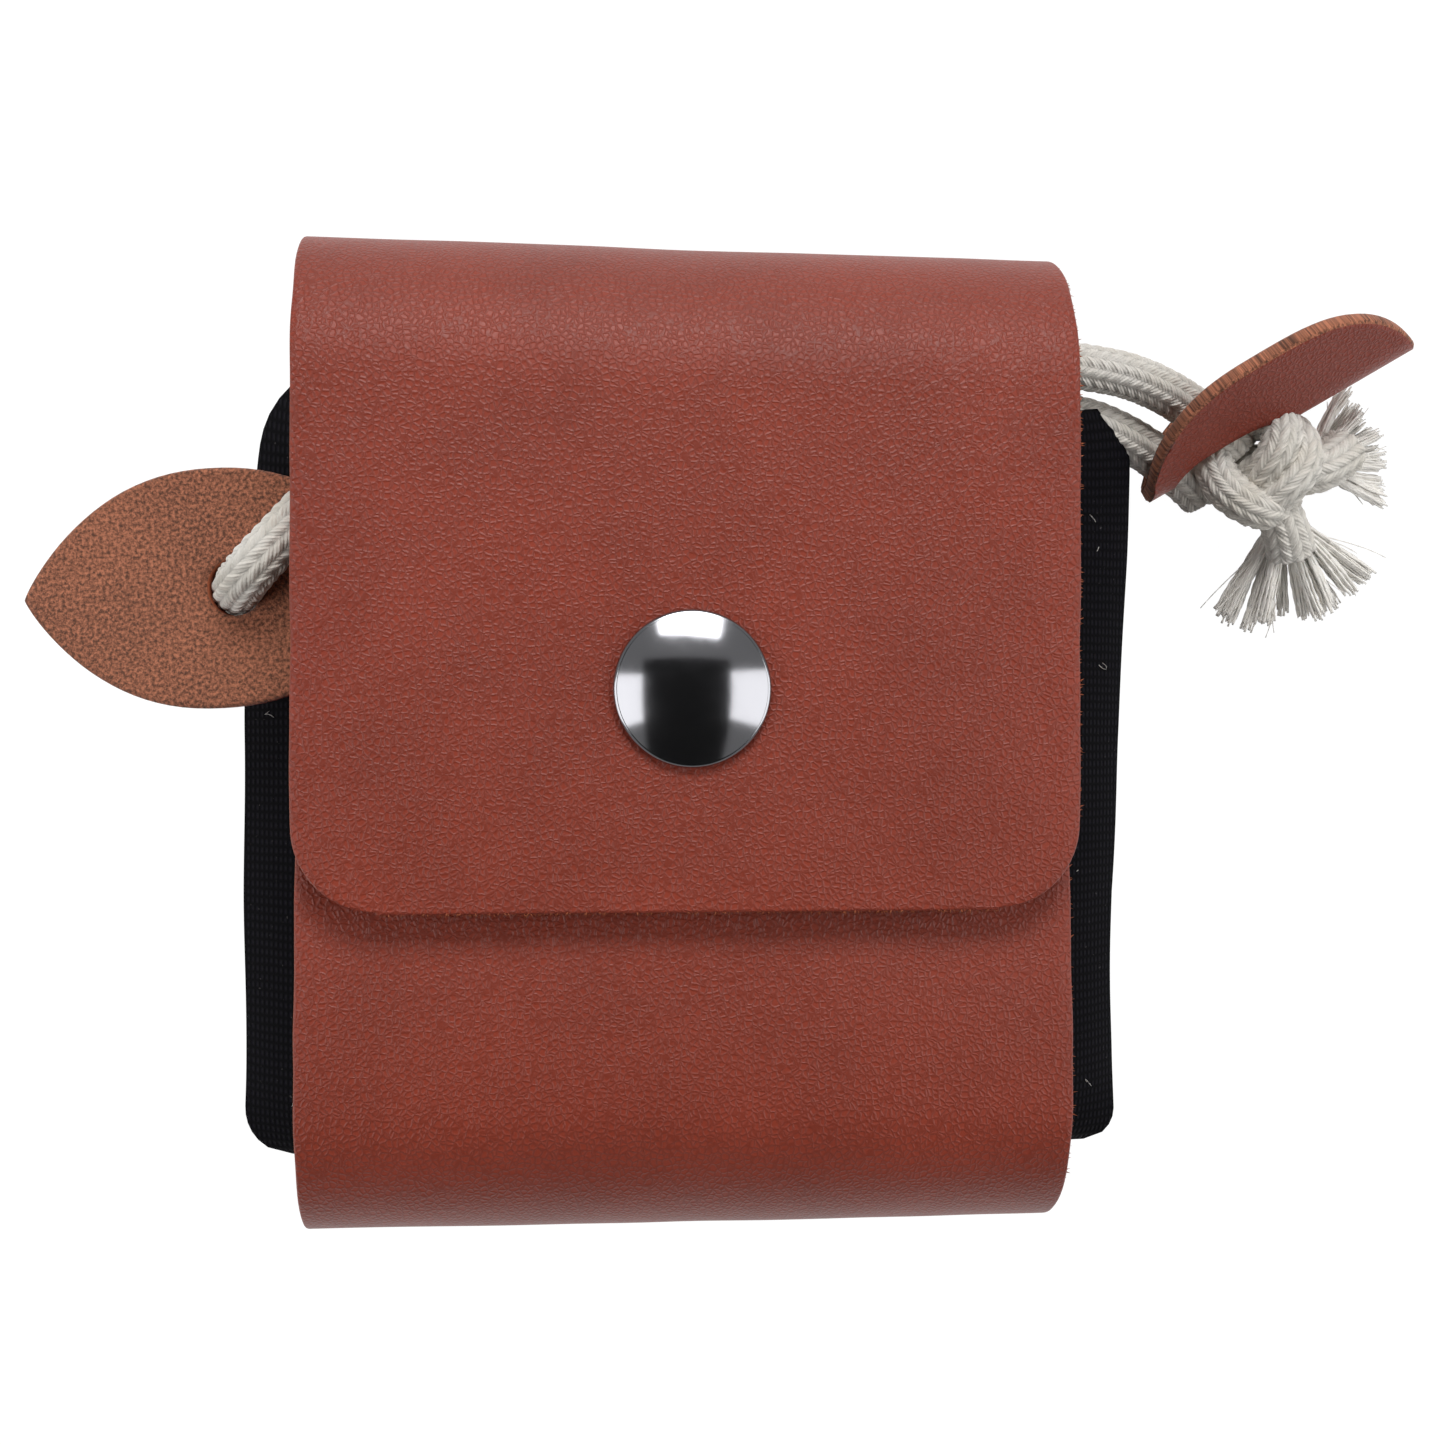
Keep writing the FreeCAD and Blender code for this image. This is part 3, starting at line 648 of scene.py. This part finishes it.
def pouch_shell():
    """The whole pouch: outer skin, inner skin, the folded rim between them and a closed lower end."""
    build = Build()
    outer = pouch_rows(build, 0.0, CLOSED_END)
    inner = pouch_rows(build, 2 * sizes().canvas, CLOSED_END + 3 * MM)
    for one, other in zip(outer, outer[1:]):
        build.bridge(one, other)
    for one, other in zip(inner, inner[1:]):
        build.bridge(other, one)
    build.bridge(outer[-1], inner[-1])
    half = POUCH_ROUND // 2
    for row, turned in ((outer[0], False), (inner[0], True)):
        for i in range(half):
            corners = (row[i], row[(POUCH_ROUND - i) % POUCH_ROUND],
                       row[(POUCH_ROUND - i - 1) % POUCH_ROUND], row[i + 1])
            corners = tuple(dict.fromkeys(corners))
            build.face(corners[::-1] if turned else corners)
    return build.finish("pouch", ["canvas"])


# ---------------------------------------------------------------- cord

ROUTES = {
    "cord_left": [(0, 39.3, 15.0), (-14, 39.3, 15.0), (-20.6, 38.2, 20.8), (-25.5, 33.4, 25.4),
                  (-31.0, 27.2, 26.2), (-36.8, 21.2, 26.0), (-42.6, 15.0, 25.6), (-44.4, 14.1, 16.5),
                  (-48.0, 12.8, 11.8)],
    "cord_right_upper": [(0, 39.3, 15.0), (19, 39.3, 15.0), (38, 39.2, 14.0), (52.8, 37.4, 11.4),
                         (61.0, 31.1, 7.9)],
    "cord_right_lower": [(0, 34.9, 12.0), (18, 34.9, 12.0), (36, 34.9, 11.0), (49.7, 32.5, 8.5),
                         (57.9, 26.2, 5.0)],
}

KNOT = Vector((63.4, 29.2, 7.9)) * MM
STOPPER = Vector((-49.0, 12.8, 12.4)) * MM

KNOT_PASSES = {
    "under": [(-5.4, -1.8, -2.8), (-2.6, -1.4, -1.0), (0.4, 0.6, -0.4), (3.0, -0.4, -1.0),
              (3.8, -2.0, -2.0)],
    "left": [(-3.4, 3.6, -1.8), (-5.2, 1.0, 0.0), (-4.9, -2.0, 1.2), (-2.4, -4.4, 2.2), (0.8, -5.2, 1.8),
             (2.8, -4.2, -0.2)],
    "top": [(-2.6, 3.6, -1.0), (-0.6, 5.2, 1.2), (1.4, 4.8, 2.6), (1.4, 2.0, 3.6), (0.2, -0.6, 2.8),
            (-0.6, -2.4, 0.4)],
    "right": [(2.0, 4.4, 0.2), (3.8, 2.8, 1.8), (3.9, 0.2, 3.0), (2.2, -2.4, 3.2), (0.2, -4.0, 1.4),
              (-0.8, -4.6, -1.0)],
}

TAILS = {
    "tail_upper": [(3.0, -1.0, 0.5), (6.0, -0.8, 0.8), (8.6, 0.8, 0.0), (9.8, 1.8, -0.8)],
    "tail_lower": [(1.0, -3.0, 1.0), (2.4, -6.0, 0.6), (3.6, -8.2, -0.6), (4.0, -9.2, -1.2)],
}


def spline_points(name, places):
    """Points of the smooth line that these control points shape."""
    curve = bpy.data.curves.new(name + "_line", "CURVE")
    curve.dimensions = "3D"
    spline = curve.splines.new("NURBS")
    spline.points.add(len(places) - 1)
    for point, place in zip(spline.points, places):
        point.co = (*place, 1.0)
    spline.order_u = 3
    spline.use_endpoint_u = True
    curve.resolution_u = 16
    holder = bpy.data.objects.new(name + "_line", curve)
    line = bpy.data.meshes.new_from_object(holder)
    points = [vertex.co.copy() for vertex in line.vertices]
    bpy.data.objects.remove(holder)
    bpy.data.curves.remove(curve)
    bpy.data.meshes.remove(line)
    return points


def evenly(points, step):
    """The same line in steps of one length, with how far along each point is."""
    lengths = [0.0]
    for one, other in zip(points, points[1:]):
        lengths.append(lengths[-1] + (other - one).length)
    count = max(2, round(lengths[-1] / step))
    result = []
    k = 0
    for i in range(count + 1):
        target = lengths[-1] * i / count
        while k < len(points) - 2 and lengths[k + 1] < target:
            k += 1
        span = lengths[k + 1] - lengths[k]
        share = (target - lengths[k]) / span if span > 0 else 0.0
        result.append((points[k].lerp(points[k + 1], min(share, 1.0)), target))
    return result


def frames(line):
    """Two directions square to the line at each point, turning with it and never twisting."""
    result = []
    side = None
    for i in range(len(line)):
        ahead = line[min(i + 1, len(line) - 1)][0] - line[max(i - 1, 0)][0]
        ahead.normalize()
        side = ahead.orthogonal() if side is None else side - ahead * side.dot(ahead)
        side.normalize()
        result.append((side.copy(), ahead.cross(side)))
    return result


BRAID_AROUND = 5
BRAID_STEP = 0.24 * MM
BRAID_RELIEF = 0.42 * MM
SLANT = 0.95


def braid_height(column, along):
    """Height of the braid, 0 in the grooves and 1 on a yarn's back, and its yarn coordinate."""
    number = math.floor(column)
    inside = column - number
    lean = 1 if number % 2 == 0 else -1
    phase = along + lean * (inside - 0.5) * SLANT
    across_yarn = 1 - abs(2 * (phase - math.floor(phase)) - 1) ** 2.0
    across_column = 1 - abs(2 * inside - 1) ** 2.6
    return (0.25 + 0.75 * across_yarn) * (0.30 + 0.70 * across_column), phase


def braided(build, points, radius, twist=0.0, fade=0.0):
    """Lays braided cord along points. Its last stretch, fade long, loosens and swells."""
    columns = sizes().braid_columns
    pitch = sizes().braid_pitch
    line = evenly(points, BRAID_STEP)
    around = columns * BRAID_AROUND
    total = line[-1][1]
    before = None
    rings = []
    for (place, run), (side, up) in zip(line, frames(line)):
        loose = max(0.0, 1 - (total - run) / fade) if fade else 0.0
        ring = []
        for i in range(around):
            column = i / BRAID_AROUND
            height, phase = braid_height(column, run / pitch + twist)
            spin = TURN * i / around + run * 22.0
            reach = radius * (1 + 0.12 * loose) - BRAID_RELIEF * (1 - height)
            reach += 0.05 * MM * noise.noise(place * 900 + Vector((i, 0, 0)))
            out = side * math.cos(spin) + up * math.sin(spin)
            ring.append(build.point(place + out * reach, (phase, height)))
        rings.append(ring)
        if before:
            build.bridge(before, ring)
        before = ring
    build.face(tuple(reversed(rings[0])))
    build.face(tuple(rings[-1]))
    return line


def cord_piece(name):
    build = Build()
    places = [Vector(place) * MM for place in ROUTES[name]]
    line = braided(build, spline_points(name, places), sizes().cord_radius)
    obj = build.finish(name + "_braided", ["cotton"])
    return obj, [tuple(place) for place, _ in line[::8]] + [tuple(line[-1][0])]


def knot_piece():
    """The tied knot: four passes of the same cord drawn over each other."""
    build = Build()
    for number, (name, places) in enumerate(KNOT_PASSES.items()):
        points = spline_points(name, [KNOT + Vector(place) * MM for place in places])
        braided(build, points, sizes().cord_radius * 0.93, twist=0.3 * number)
    return build.finish("knot", ["cotton"])


def stopper_piece():
    """A small overhand knot under the left leaf: two tight turns of the cord."""
    build = Build()
    for tilt, lift in ((0.35, 0.9), (-0.5, -1.0)):
        ring = []
        for i in range(10):
            angle = TURN * 0.92 * i / 9 + tilt
            ring.append(STOPPER + Vector((2.5 * math.cos(angle), 2.5 * math.sin(angle),
                                          lift + tilt * 2.0 * math.cos(angle))) * MM)
        braided(build, spline_points("turn", ring), sizes().cord_radius * 0.9)
    return build.finish("stopper", ["cotton"])


def yarn(build, points, thick, tip, sides=4, slot=1):
    """A single yarn: a thin tube that thins to its tip."""
    line = evenly(points, 0.35 * MM)
    before = None
    first = None
    for i, ((place, run), (side, up)) in enumerate(zip(line, frames(line))):
        share = i / (len(line) - 1)
        reach = thick * (1 - share) + tip * share
        ring = []
        for k in range(sides):
            spin = TURN * k / sides + run * 900
            ply = 1 + 0.18 * math.cos(2 * spin)
            out = side * math.cos(spin) + up * math.sin(spin)
            ring.append(build.point(place + out * reach * ply, (k / sides, 0.75 + 0.25 * math.cos(spin))))
        first = first or ring
        if before:
            build.bridge(before, ring, slot)
        before = ring
    build.face(tuple(reversed(first)), slot)
    build.face(tuple(before), slot)


FLOOR_GAP = 0.3 * MM

# each tail's heading, how far its bundles fan out, and their reach
TAIL_FRAYS = {
    "tail_upper": (Vector((1.0, 0.34, 0.0)), 0.75, 6.6 * MM),
    "tail_lower": (Vector((0.30, -1.0, 0.0)), 1.05, 8.8 * MM),
}


def frayed_tail(name, seed):
    """A cord's end: braided out of the knot, then fallen open into soft bundles of fibres."""
    chance = random.Random(seed)
    build = Build()
    places = [KNOT + Vector(place) * MM for place in TAILS[name]]
    line = braided(build, spline_points(name, places), sizes().cord_radius, fade=6 * MM)
    heading, spread, reach = TAIL_FRAYS[name]
    heading = heading.normalized()
    side = Vector((-heading.y, heading.x, 0.0))
    count = sizes().fray_bundles
    for number in range(count):
        turn = 2 * (number + 0.5) / count - 1 + chance.uniform(-0.08, 0.08)
        level = chance.uniform(-1.0, 1.0)
        root = line[-1][0] - heading * 2.6 * MM + side * turn * 1.9 * MM
        root.z += level * 1.4 * MM
        aim = (heading + side * turn * spread).normalized()
        far = reach * chance.uniform(0.78, 1.0) + 2.6 * MM
        end = root + aim * far
        end.z = max(FLOOR_GAP + 0.9 * MM, (2.6 + level * 1.9) * MM)
        middle = root.lerp(end, 0.5) + side * chance.uniform(-0.9, 0.9) * MM
        bundle(build, [root, middle, end], chance)
    for _ in range(count):
        turn = chance.uniform(-1.3, 1.3)
        root = line[-1][0] - heading * 2.0 * MM + side * turn * MM
        aim = (heading + side * turn * spread * 1.3).normalized()
        end = root + aim * reach * chance.uniform(0.9, 1.35)
        end.z = chance.uniform(1.0, 4.0) * MM
        middle = root.lerp(end, 0.6) + side * chance.uniform(-1.6, 1.6) * MM
        yarn(build, spline_points("wisp", [root, middle, end]), 0.07 * MM, 0.05 * MM)
    return build.finish(name + "_frayed", ["cotton", "fibres"])


def bundle(build, places, chance):
    """Loose fibres that run together and end bluntly, a little wider at their ends."""
    heart = spline_points("bundle", places)
    across = (places[-1] - places[0]).orthogonal().normalized()
    axis = (places[-1] - places[0]).normalized()
    for _ in range(sizes().bundle_fibres):
        spin = Matrix.Rotation(chance.uniform(0, TURN), 3, axis)
        out = spin @ across * math.sqrt(chance.random()) * 0.62 * MM
        keep = max(3, int(len(heart) * chance.uniform(0.86, 1.0)))
        wave = chance.uniform(0, TURN)
        points = []
        for i, place in enumerate(heart[:keep]):
            share = i / len(heart)
            curl = spin @ across * math.sin(wave + share * 9) * 0.09 * MM
            spot = place + out * (0.7 + 0.55 * share) + curl
            spot.z = max(spot.z, FLOOR_GAP)
            points.append(spot)
        thick = chance.uniform(0.13, 0.21) * MM
        yarn(build, points, thick, thick * 0.7)


# ---------------------------------------------------------------- leaves

LEAF_MIDDLE = Vector((-45.4, 14.4, 18.6)) * MM
LEAF_TURN = Matrix.Rotation(math.radians(3.0), 3, "Z") @ Matrix.Rotation(math.radians(-11.0), 3, "Y")
LEAF_HOLE = Vector((2.0, 0.0)) * MM
LEAF_HOLE_RADIUS = 2.8 * MM
LEAF_HALF_LENGTH = 20.0 * MM
LEAF_HALF_WIDTH = 11.7 * MM
LEAF_AROUND = 96


def leaf_outline(share):
    """A point of the flat leaf's outline: two arcs that meet in blunt tips."""
    angle = TURN * share
    x = math.cos(angle)
    wide = LEAF_HALF_WIDTH * (1 - abs(x) ** 2.2) ** 0.86
    return Vector((LEAF_HALF_LENGTH * x, math.copysign(wide, math.sin(angle))))


def leaf_piece(name, finishes, shape, place_of, heights, shrinks, side_slots):
    """A leaf: two faces from its hole to its outline, its cut side and the wall of its hole."""
    build = Build()
    inner, outer, centre, rings = shape

    def skin(height, shrink):
        rows = []
        for r in range(rings + 1):
            row = []
            for one, other in zip(inner, outer):
                place = one.lerp(other, r / rings)
                if r == rings:
                    place = place - (other - centre).normalized() * shrink
                row.append(build.point(place_of(place, height), (place.x, place.y)))
            rows.append(row)
        return rows

    upper = skin(heights[0], shrinks[0])
    sides = [[build.point(place_of(place, height), (place.x, place.y)) for place in outer]
             for height in heights[1:-1]]
    lower = skin(heights[-1], shrinks[1])
    for one, other in zip(upper, upper[1:]):
        build.bridge(one, other, 0)
    for one, other in zip(lower, lower[1:]):
        build.bridge(other, one, 1)
    for one, other, slot in zip([upper[-1], *sides], [*sides, lower[-1]], side_slots):
        build.bridge(one, other, slot)
    build.bridge(lower[0], upper[0], 2)
    return build.finish(name, finishes)


def flat_leaf():
    """Left leaf, flesh side up, with its hole and a slight bow along its length."""
    thick = sizes().leather
    shares = [i / LEAF_AROUND for i in range(LEAF_AROUND)]
    inner = [LEAF_HOLE + Vector((math.cos(TURN * s), math.sin(TURN * s))) * LEAF_HOLE_RADIUS for s in shares]
    outer = [leaf_outline(s) for s in shares]

    def level(place, height):
        bow = -0.9 * MM * (place.x / LEAF_HALF_LENGTH) ** 2 + 0.5 * MM * (place.y / LEAF_HALF_WIDTH) ** 2
        ripple = 0.06 * MM * wander(place.x, place.y, 3 * MM, 3.0)
        return LEAF_MIDDLE + LEAF_TURN @ Vector((place.x, place.y, height + bow + 0.4 * MM + ripple))

    return leaf_piece("leaf_left_suede", ["suede", "leather", "edge"], (inner, outer, LEAF_HOLE, 18), level,
                      (thick, thick * 0.75, thick * 0.2, 0.0), (0.25 * MM, 0.3 * MM), (0, 1, 1))


CURL_MIDDLE = Vector((64.0, 33.6, 9.2)) * MM
CURL_ALONG = Vector((0.84, 0.50, 0.20)).normalized()
CURL_FACING = Vector((0.60, -0.78, -0.10))
CURL_SIDE = CURL_FACING.cross(CURL_ALONG).normalized()
CURL_OUT = CURL_ALONG.cross(CURL_SIDE).normalized()
CURL_HALF_LENGTH = 17.0 * MM
CURL_HALF_WIDTH = 11.75 * MM
CURL_RADIUS = 3.6 * MM
CURL_TURN = math.radians(50)
CURL_LOWER_SHARE = 0.72
SLOT_MIDDLE = Vector((-5.5, 0.0)) * MM
SLOT_HALF_LENGTH = 6.6 * MM
SLOT_HALF_WIDTH = 3.3 * MM


def curl_place(place, out):
    """A point of the curled leaf from its flat place: a round fold with wings that stand open."""
    arc = CURL_RADIUS * CURL_TURN
    turned = min(abs(place.y), arc) / CURL_RADIUS
    straight = max(0.0, abs(place.y) - arc)
    radius = CURL_RADIUS + out
    sideways = radius * math.sin(turned) + straight * math.cos(turned)
    back = radius * math.cos(turned) - CURL_RADIUS - straight * math.sin(turned)
    return (CURL_MIDDLE + CURL_ALONG * place.x + CURL_SIDE * math.copysign(sideways, place.y)
            + CURL_OUT * back)


def slot_point(share):
    """A point of the curled leaf's slot, a long hole with round ends."""
    angle = TURN * share
    x = math.copysign(abs(math.cos(angle)) ** 0.7, math.cos(angle)) * SLOT_HALF_LENGTH
    y = math.copysign(abs(math.sin(angle)) ** 0.7, math.sin(angle)) * SLOT_HALF_WIDTH
    return SLOT_MIDDLE + Vector((x, y))


def curl_outline(share):
    """A point of the curled leaf's outline: blunter at its far tip, narrower on its lower wing."""
    angle = TURN * share
    x = math.cos(angle)
    full, blunt, reach = (3.4, 0.62, 1.0) if x > 0 else (2.5, 0.66, 0.9)
    wide = CURL_HALF_WIDTH * (1 - abs(x) ** full) ** blunt
    if math.sin(angle) * CURL_SIDE.z < 0:
        wide *= CURL_LOWER_SHARE
    return Vector((CURL_HALF_LENGTH * reach * x, math.copysign(wide, math.sin(angle))))


def curled_leaf():
    """Right leaf, drawn shut round the cord: grain side out, flesh side in, a slot in its fold."""
    thick = sizes().leather
    shares = [i / LEAF_AROUND for i in range(LEAF_AROUND)]
    inner = [slot_point(s) for s in shares]
    outer = [curl_outline(s) for s in shares]
    return leaf_piece("leaf_right_curled", ["leather", "suede", "suede"], (inner, outer, SLOT_MIDDLE, 16),
                      curl_place, (thick / 2, thick * 0.3, -thick * 0.3, -thick / 2), (0.3 * MM, 0.3 * MM),
                      (2, 2, 2))


# ---------------------------------------------------------------- snap

def snap_cap_piece():
    """Spun cap: a thin rolled rim and a low dome, on its post through the flap."""
    build = Build()
    centre = (CAP_LOW + CAP_HIGH) / 2
    floor = 2 * TOP_RADIUS
    radius = (CAP_HIGH.x - CAP_LOW.x) / 2
    height = CAP_HIGH.z - floor
    profile = [(0.0, CAP_LOW.z - floor), (2.6 * MM, CAP_LOW.z - floor), (2.6 * MM, -2.3 * MM),
               (2.0 * MM, -2.3 * MM), (2.0 * MM, -0.4 * MM), (radius - 0.9 * MM, -0.3 * MM)]
    for step in range(9):
        angle = -math.pi / 2 + math.pi * 1.15 * step / 8
        profile.append((radius - 0.42 * MM + 0.42 * MM * math.cos(angle),
                        0.32 * MM + 0.42 * MM * math.sin(angle)))
    dome = radius - 0.35 * MM
    for step in range(25):
        out = dome * math.cos(math.pi / 2 * step / 24)
        share = 1 - (out / dome) ** 2
        profile.append((out, 0.72 * MM + (height - 0.74 * MM) * share))
    around = 96
    before = None
    for out, up in profile:
        out = max(out, 0.01 * MM)
        row = [build.point((centre.x + out * math.cos(TURN * i / around),
                            centre.y + out * math.sin(TURN * i / around), floor + up),
                           (i / around, up / MM)) for i in range(around)]
        if before:
            build.bridge(before, row)
        else:
            build.face(tuple(reversed(row)))
        before = row
    build.face(tuple(before))
    return build.finish("snap_cap_polished", ["nickel"])


# ---------------------------------------------------------------- operators

class BAG_OT_leather(bpy.types.Operator):
    """Build the leather strip in two pieces that meet in the middle of the upper bend"""
    bl_idname = "bag.leather"
    bl_label = "Leather strip"

    def execute(self, context):
        lower = leather_piece("leather_wrap", 0.0, BEND_MIDDLE, True, False)
        upper = leather_piece("leather_flap_grain", BEND_MIDDLE, STRIP_RUN, False, True)
        lower_edge = edge_fibres("wrap_edge_fibres", 0.02, FRONT_RUN + 0.01, 90, 11)
        upper_edge = edge_fibres("flap_edge_fibres", BEND_MIDDLE + 0.006, STRIP_RUN - 0.009, 330, 12,
                                 across_end=260)
        for obj in (lower, lower_edge):
            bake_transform(obj)
        for obj in (upper, upper_edge):
            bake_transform(obj)
        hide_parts("leather_body", "leather_bend")
        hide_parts("leather_flap")
        return {"FINISHED"}


class BAG_OT_pouch(bpy.types.Operator):
    """Build the canvas pouch"""
    bl_idname = "bag.pouch"
    bl_label = "Canvas pouch"

    def execute(self, context):
        pouch = pouch_shell()
        lint = canvas_lint()
        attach(pouch, "bag")
        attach(lint, "bag")
        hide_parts("canvas_front", "canvas_back", "hem_front", "hem_back")
        return {"FINISHED"}


class BAG_OT_snap(bpy.types.Operator):
    """Build the snap's cap and finish the snap's other parts, the keeper and the stitches"""
    bl_idname = "bag.snap"
    bl_label = "Snap and small parts"

    def execute(self, context):
        cap = snap_cap_piece()
        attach(cap, "flap")
        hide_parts("snap_cap")
        finishes = {"snap_socket": "nickel", "snap_stud": "nickel", "snap_post": "nickel",
                    "keeper": "canvas", "back_stitches": "edge"}
        for node, finish in finishes.items():
            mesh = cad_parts[node].data
            mesh.materials.clear()
            mesh.materials.append(material(finish))
        return {"FINISHED"}


class BAG_OT_cord(bpy.types.Operator):
    """Build the braided cord, its two knots and its frayed tails"""
    bl_idname = "bag.cord"
    bl_label = "Cord"

    def execute(self, context):
        knot = knot_piece()
        stopper = stopper_piece()
        tails = [frayed_tail("tail_upper", 21), frayed_tail("tail_lower", 22)]
        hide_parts("cord_knot")
        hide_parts("stopper_knot")
        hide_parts("tail_upper")
        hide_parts("tail_lower")
        for obj in (knot, stopper, *tails):
            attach(obj, "bag")
        lengths = {"cord_left": 0.0697, "cord_right_upper": 0.0638, "cord_right_lower": 0.0608}
        for name, length in lengths.items():
            obj, path = cord_piece(name)
            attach(obj, "bag")
            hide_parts(name)
        return {"FINISHED"}


class BAG_OT_leaves(bpy.types.Operator):
    """Build the two leather leaves"""
    bl_idname = "bag.leaves"
    bl_label = "Leaves"

    def execute(self, context):
        left = flat_leaf()
        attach(left, "left_leaf")
        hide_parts("leaf_left")
        right = curled_leaf()
        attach(right, "right_leaf")
        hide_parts("leaf_right")
        return {"FINISHED"}


# ---------------------------------------------------------------- stage

CAMERA_PLACE = Vector((-0.0143, 0.0013, 0.221))
CAMERA_TILT = math.radians(-5.16)
CAMERA_LENS = 50.3
WORLD_LEVEL = 0.29
FLOOR_REACH = 1.5
FLOOR_LEVEL = -0.05 * MM
FLOOR_GLOW = 1.1
FLOOR_GLOW_SHARE = 0.9
LIGHT_AIM = Vector((0, 0, 0.02))

# each softbox's place, width, height and power
SOFTBOXES = {
    "softbox_top": ((0.02, 0.33, 0.33), 0.30, 0.16, 1.30),
    "softbox_left": ((-0.33, -0.05, 0.27), 0.24, 0.44, 0.78),
    "softbox_right": ((0.33, -0.03, 0.27), 0.24, 0.44, 0.74),
}

# the black card over the camera, which keeps the snap's middle dark
CARD_LOW = (-0.18, -0.52)
CARD_HIGH = (0.18, 0.13)
CARD_LEVEL = 0.34


def floor_material():
    """Matt white paper. The camera and mirrors see it nearly white, and it keeps the bag's shadow."""
    material, tree, shader = new_material("paper_white_matt")
    paper = add(tree, "ShaderNodeBsdfDiffuse", {"Color": linear(colours().floor)})
    glow = add(tree, "ShaderNodeEmission", {"Color": (1, 1, 1, 1), "Strength": FLOOR_GLOW})
    ray = add(tree, "ShaderNodeLightPath")
    seen = add(tree, "ShaderNodeMath", {0: ray.outputs["Is Camera Ray"], 1: ray.outputs["Is Glossy Ray"]},
               operation="MAXIMUM")
    seen = add(tree, "ShaderNodeMath", {0: seen.outputs[0], 1: ray.outputs["Is Transmission Ray"]},
               operation="MAXIMUM")
    share = add(tree, "ShaderNodeMath", {0: seen.outputs[0], 1: FLOOR_GLOW_SHARE}, operation="MULTIPLY")
    mix = add(tree, "ShaderNodeMixShader", {0: share.outputs[0], 1: paper.outputs[0], 2: glow.outputs[0]})
    connect(tree, tree.nodes["Material Output"], {"Surface": mix.outputs[0]})
    tree.nodes.remove(shader)
    return material


def card_material():
    """Black matt card: it throws no light back."""
    material, tree, shader = new_material("card_black_matt")
    connect(tree, shader, {"Base Color": (0.01, 0.01, 0.01, 1.0), "Roughness": 1.0})
    return material


def stage_sheet(name, low, high, level, finish):
    """A flat sheet of the stage, between two corners at one height."""
    mesh = bpy.data.meshes.new(name)
    mesh.from_pydata([(low[0], low[1], level), (high[0], low[1], level), (high[0], high[1], level),
                      (low[0], high[1], level)], [], [(0, 1, 2, 3)])
    mesh.materials.append(finish)
    sheet = bpy.data.objects.new(name, mesh)
    bpy.context.scene.collection.objects.link(sheet)


def softbox(name, place, wide, high, power):
    light = bpy.data.lights.new(name, "AREA")
    light.shape = "RECTANGLE"
    light.size = wide
    light.size_y = high
    light.energy = power
    obj = bpy.data.objects.new(name, light)
    obj.location = place
    obj.rotation_euler = (LIGHT_AIM - Vector(place)).to_track_quat("-Z", "Y").to_euler()
    bpy.context.scene.collection.objects.link(obj)


class BAG_OT_stage(bpy.types.Operator):
    """Lay the floor and set the lights and the camera"""
    bl_idname = "bag.stage"
    bl_label = "Stage"

    def execute(self, context):
        scene = context.scene
        scene.view_settings.view_transform = "Standard"
        stage_sheet("floor", (-FLOOR_REACH, -FLOOR_REACH), (FLOOR_REACH, FLOOR_REACH), FLOOR_LEVEL,
                    floor_material())
        stage_sheet("card", CARD_LOW, CARD_HIGH, CARD_LEVEL, card_material())
        world = bpy.data.worlds.new("studio")
        world.use_nodes = True
        connect(world.node_tree, world.node_tree.nodes["Background"],
                {"Color": (1, 1, 1, 1), "Strength": WORLD_LEVEL})
        scene.world = world
        for name, settings in SOFTBOXES.items():
            softbox(name, *settings)
        camera = bpy.data.cameras.new("camera")
        camera.sensor_width = 36.0
        camera.lens = CAMERA_LENS
        camera.clip_start = 0.01
        holder = bpy.data.objects.new("camera", camera)
        holder.location = CAMERA_PLACE
        holder.rotation_euler = (0.0, CAMERA_TILT, 0.0)
        scene.collection.objects.link(holder)
        scene.camera = holder
        return {"FINISHED"}


# ---------------------------------------------------------------- panel and run

class BAG_PT_panel(bpy.types.Panel):
    """Lists the bag's builders, sizes and colours"""
    bl_idname = "BAG_PT_panel"
    bl_label = "Drum stick bag"
    bl_space_type = "VIEW_3D"
    bl_region_type = "UI"
    bl_category = "Bag"

    def draw(self, context):
        for operator in OPERATORS:
            self.layout.operator(operator.bl_idname)
        for group in (context.scene.bag_sizes, context.scene.bag_colours):
            for name in group.__annotations__:
                self.layout.prop(group, name)


OPERATORS = (BAG_OT_stage, BAG_OT_leather, BAG_OT_pouch, BAG_OT_snap, BAG_OT_cord, BAG_OT_leaves)
CLASSES = (BagSizes, BagColours, *OPERATORS, BAG_PT_panel)


def register():
    for cls in CLASSES:
        bpy.utils.register_class(cls)
    bpy.types.Scene.bag_sizes = bpy.props.PointerProperty(type=BagSizes)
    bpy.types.Scene.bag_colours = bpy.props.PointerProperty(type=BagColours)


def unregister():
    del bpy.types.Scene.bag_colours
    del bpy.types.Scene.bag_sizes
    for cls in reversed(CLASSES):
        bpy.utils.unregister_class(cls)


def main():
    register()
    bpy.ops.bag.stage()
    bpy.ops.bag.leather()
    bpy.ops.bag.pouch()
    bpy.ops.bag.snap()
    bpy.ops.bag.cord()
    bpy.ops.bag.leaves()


if __name__ == "__main__":
    main()
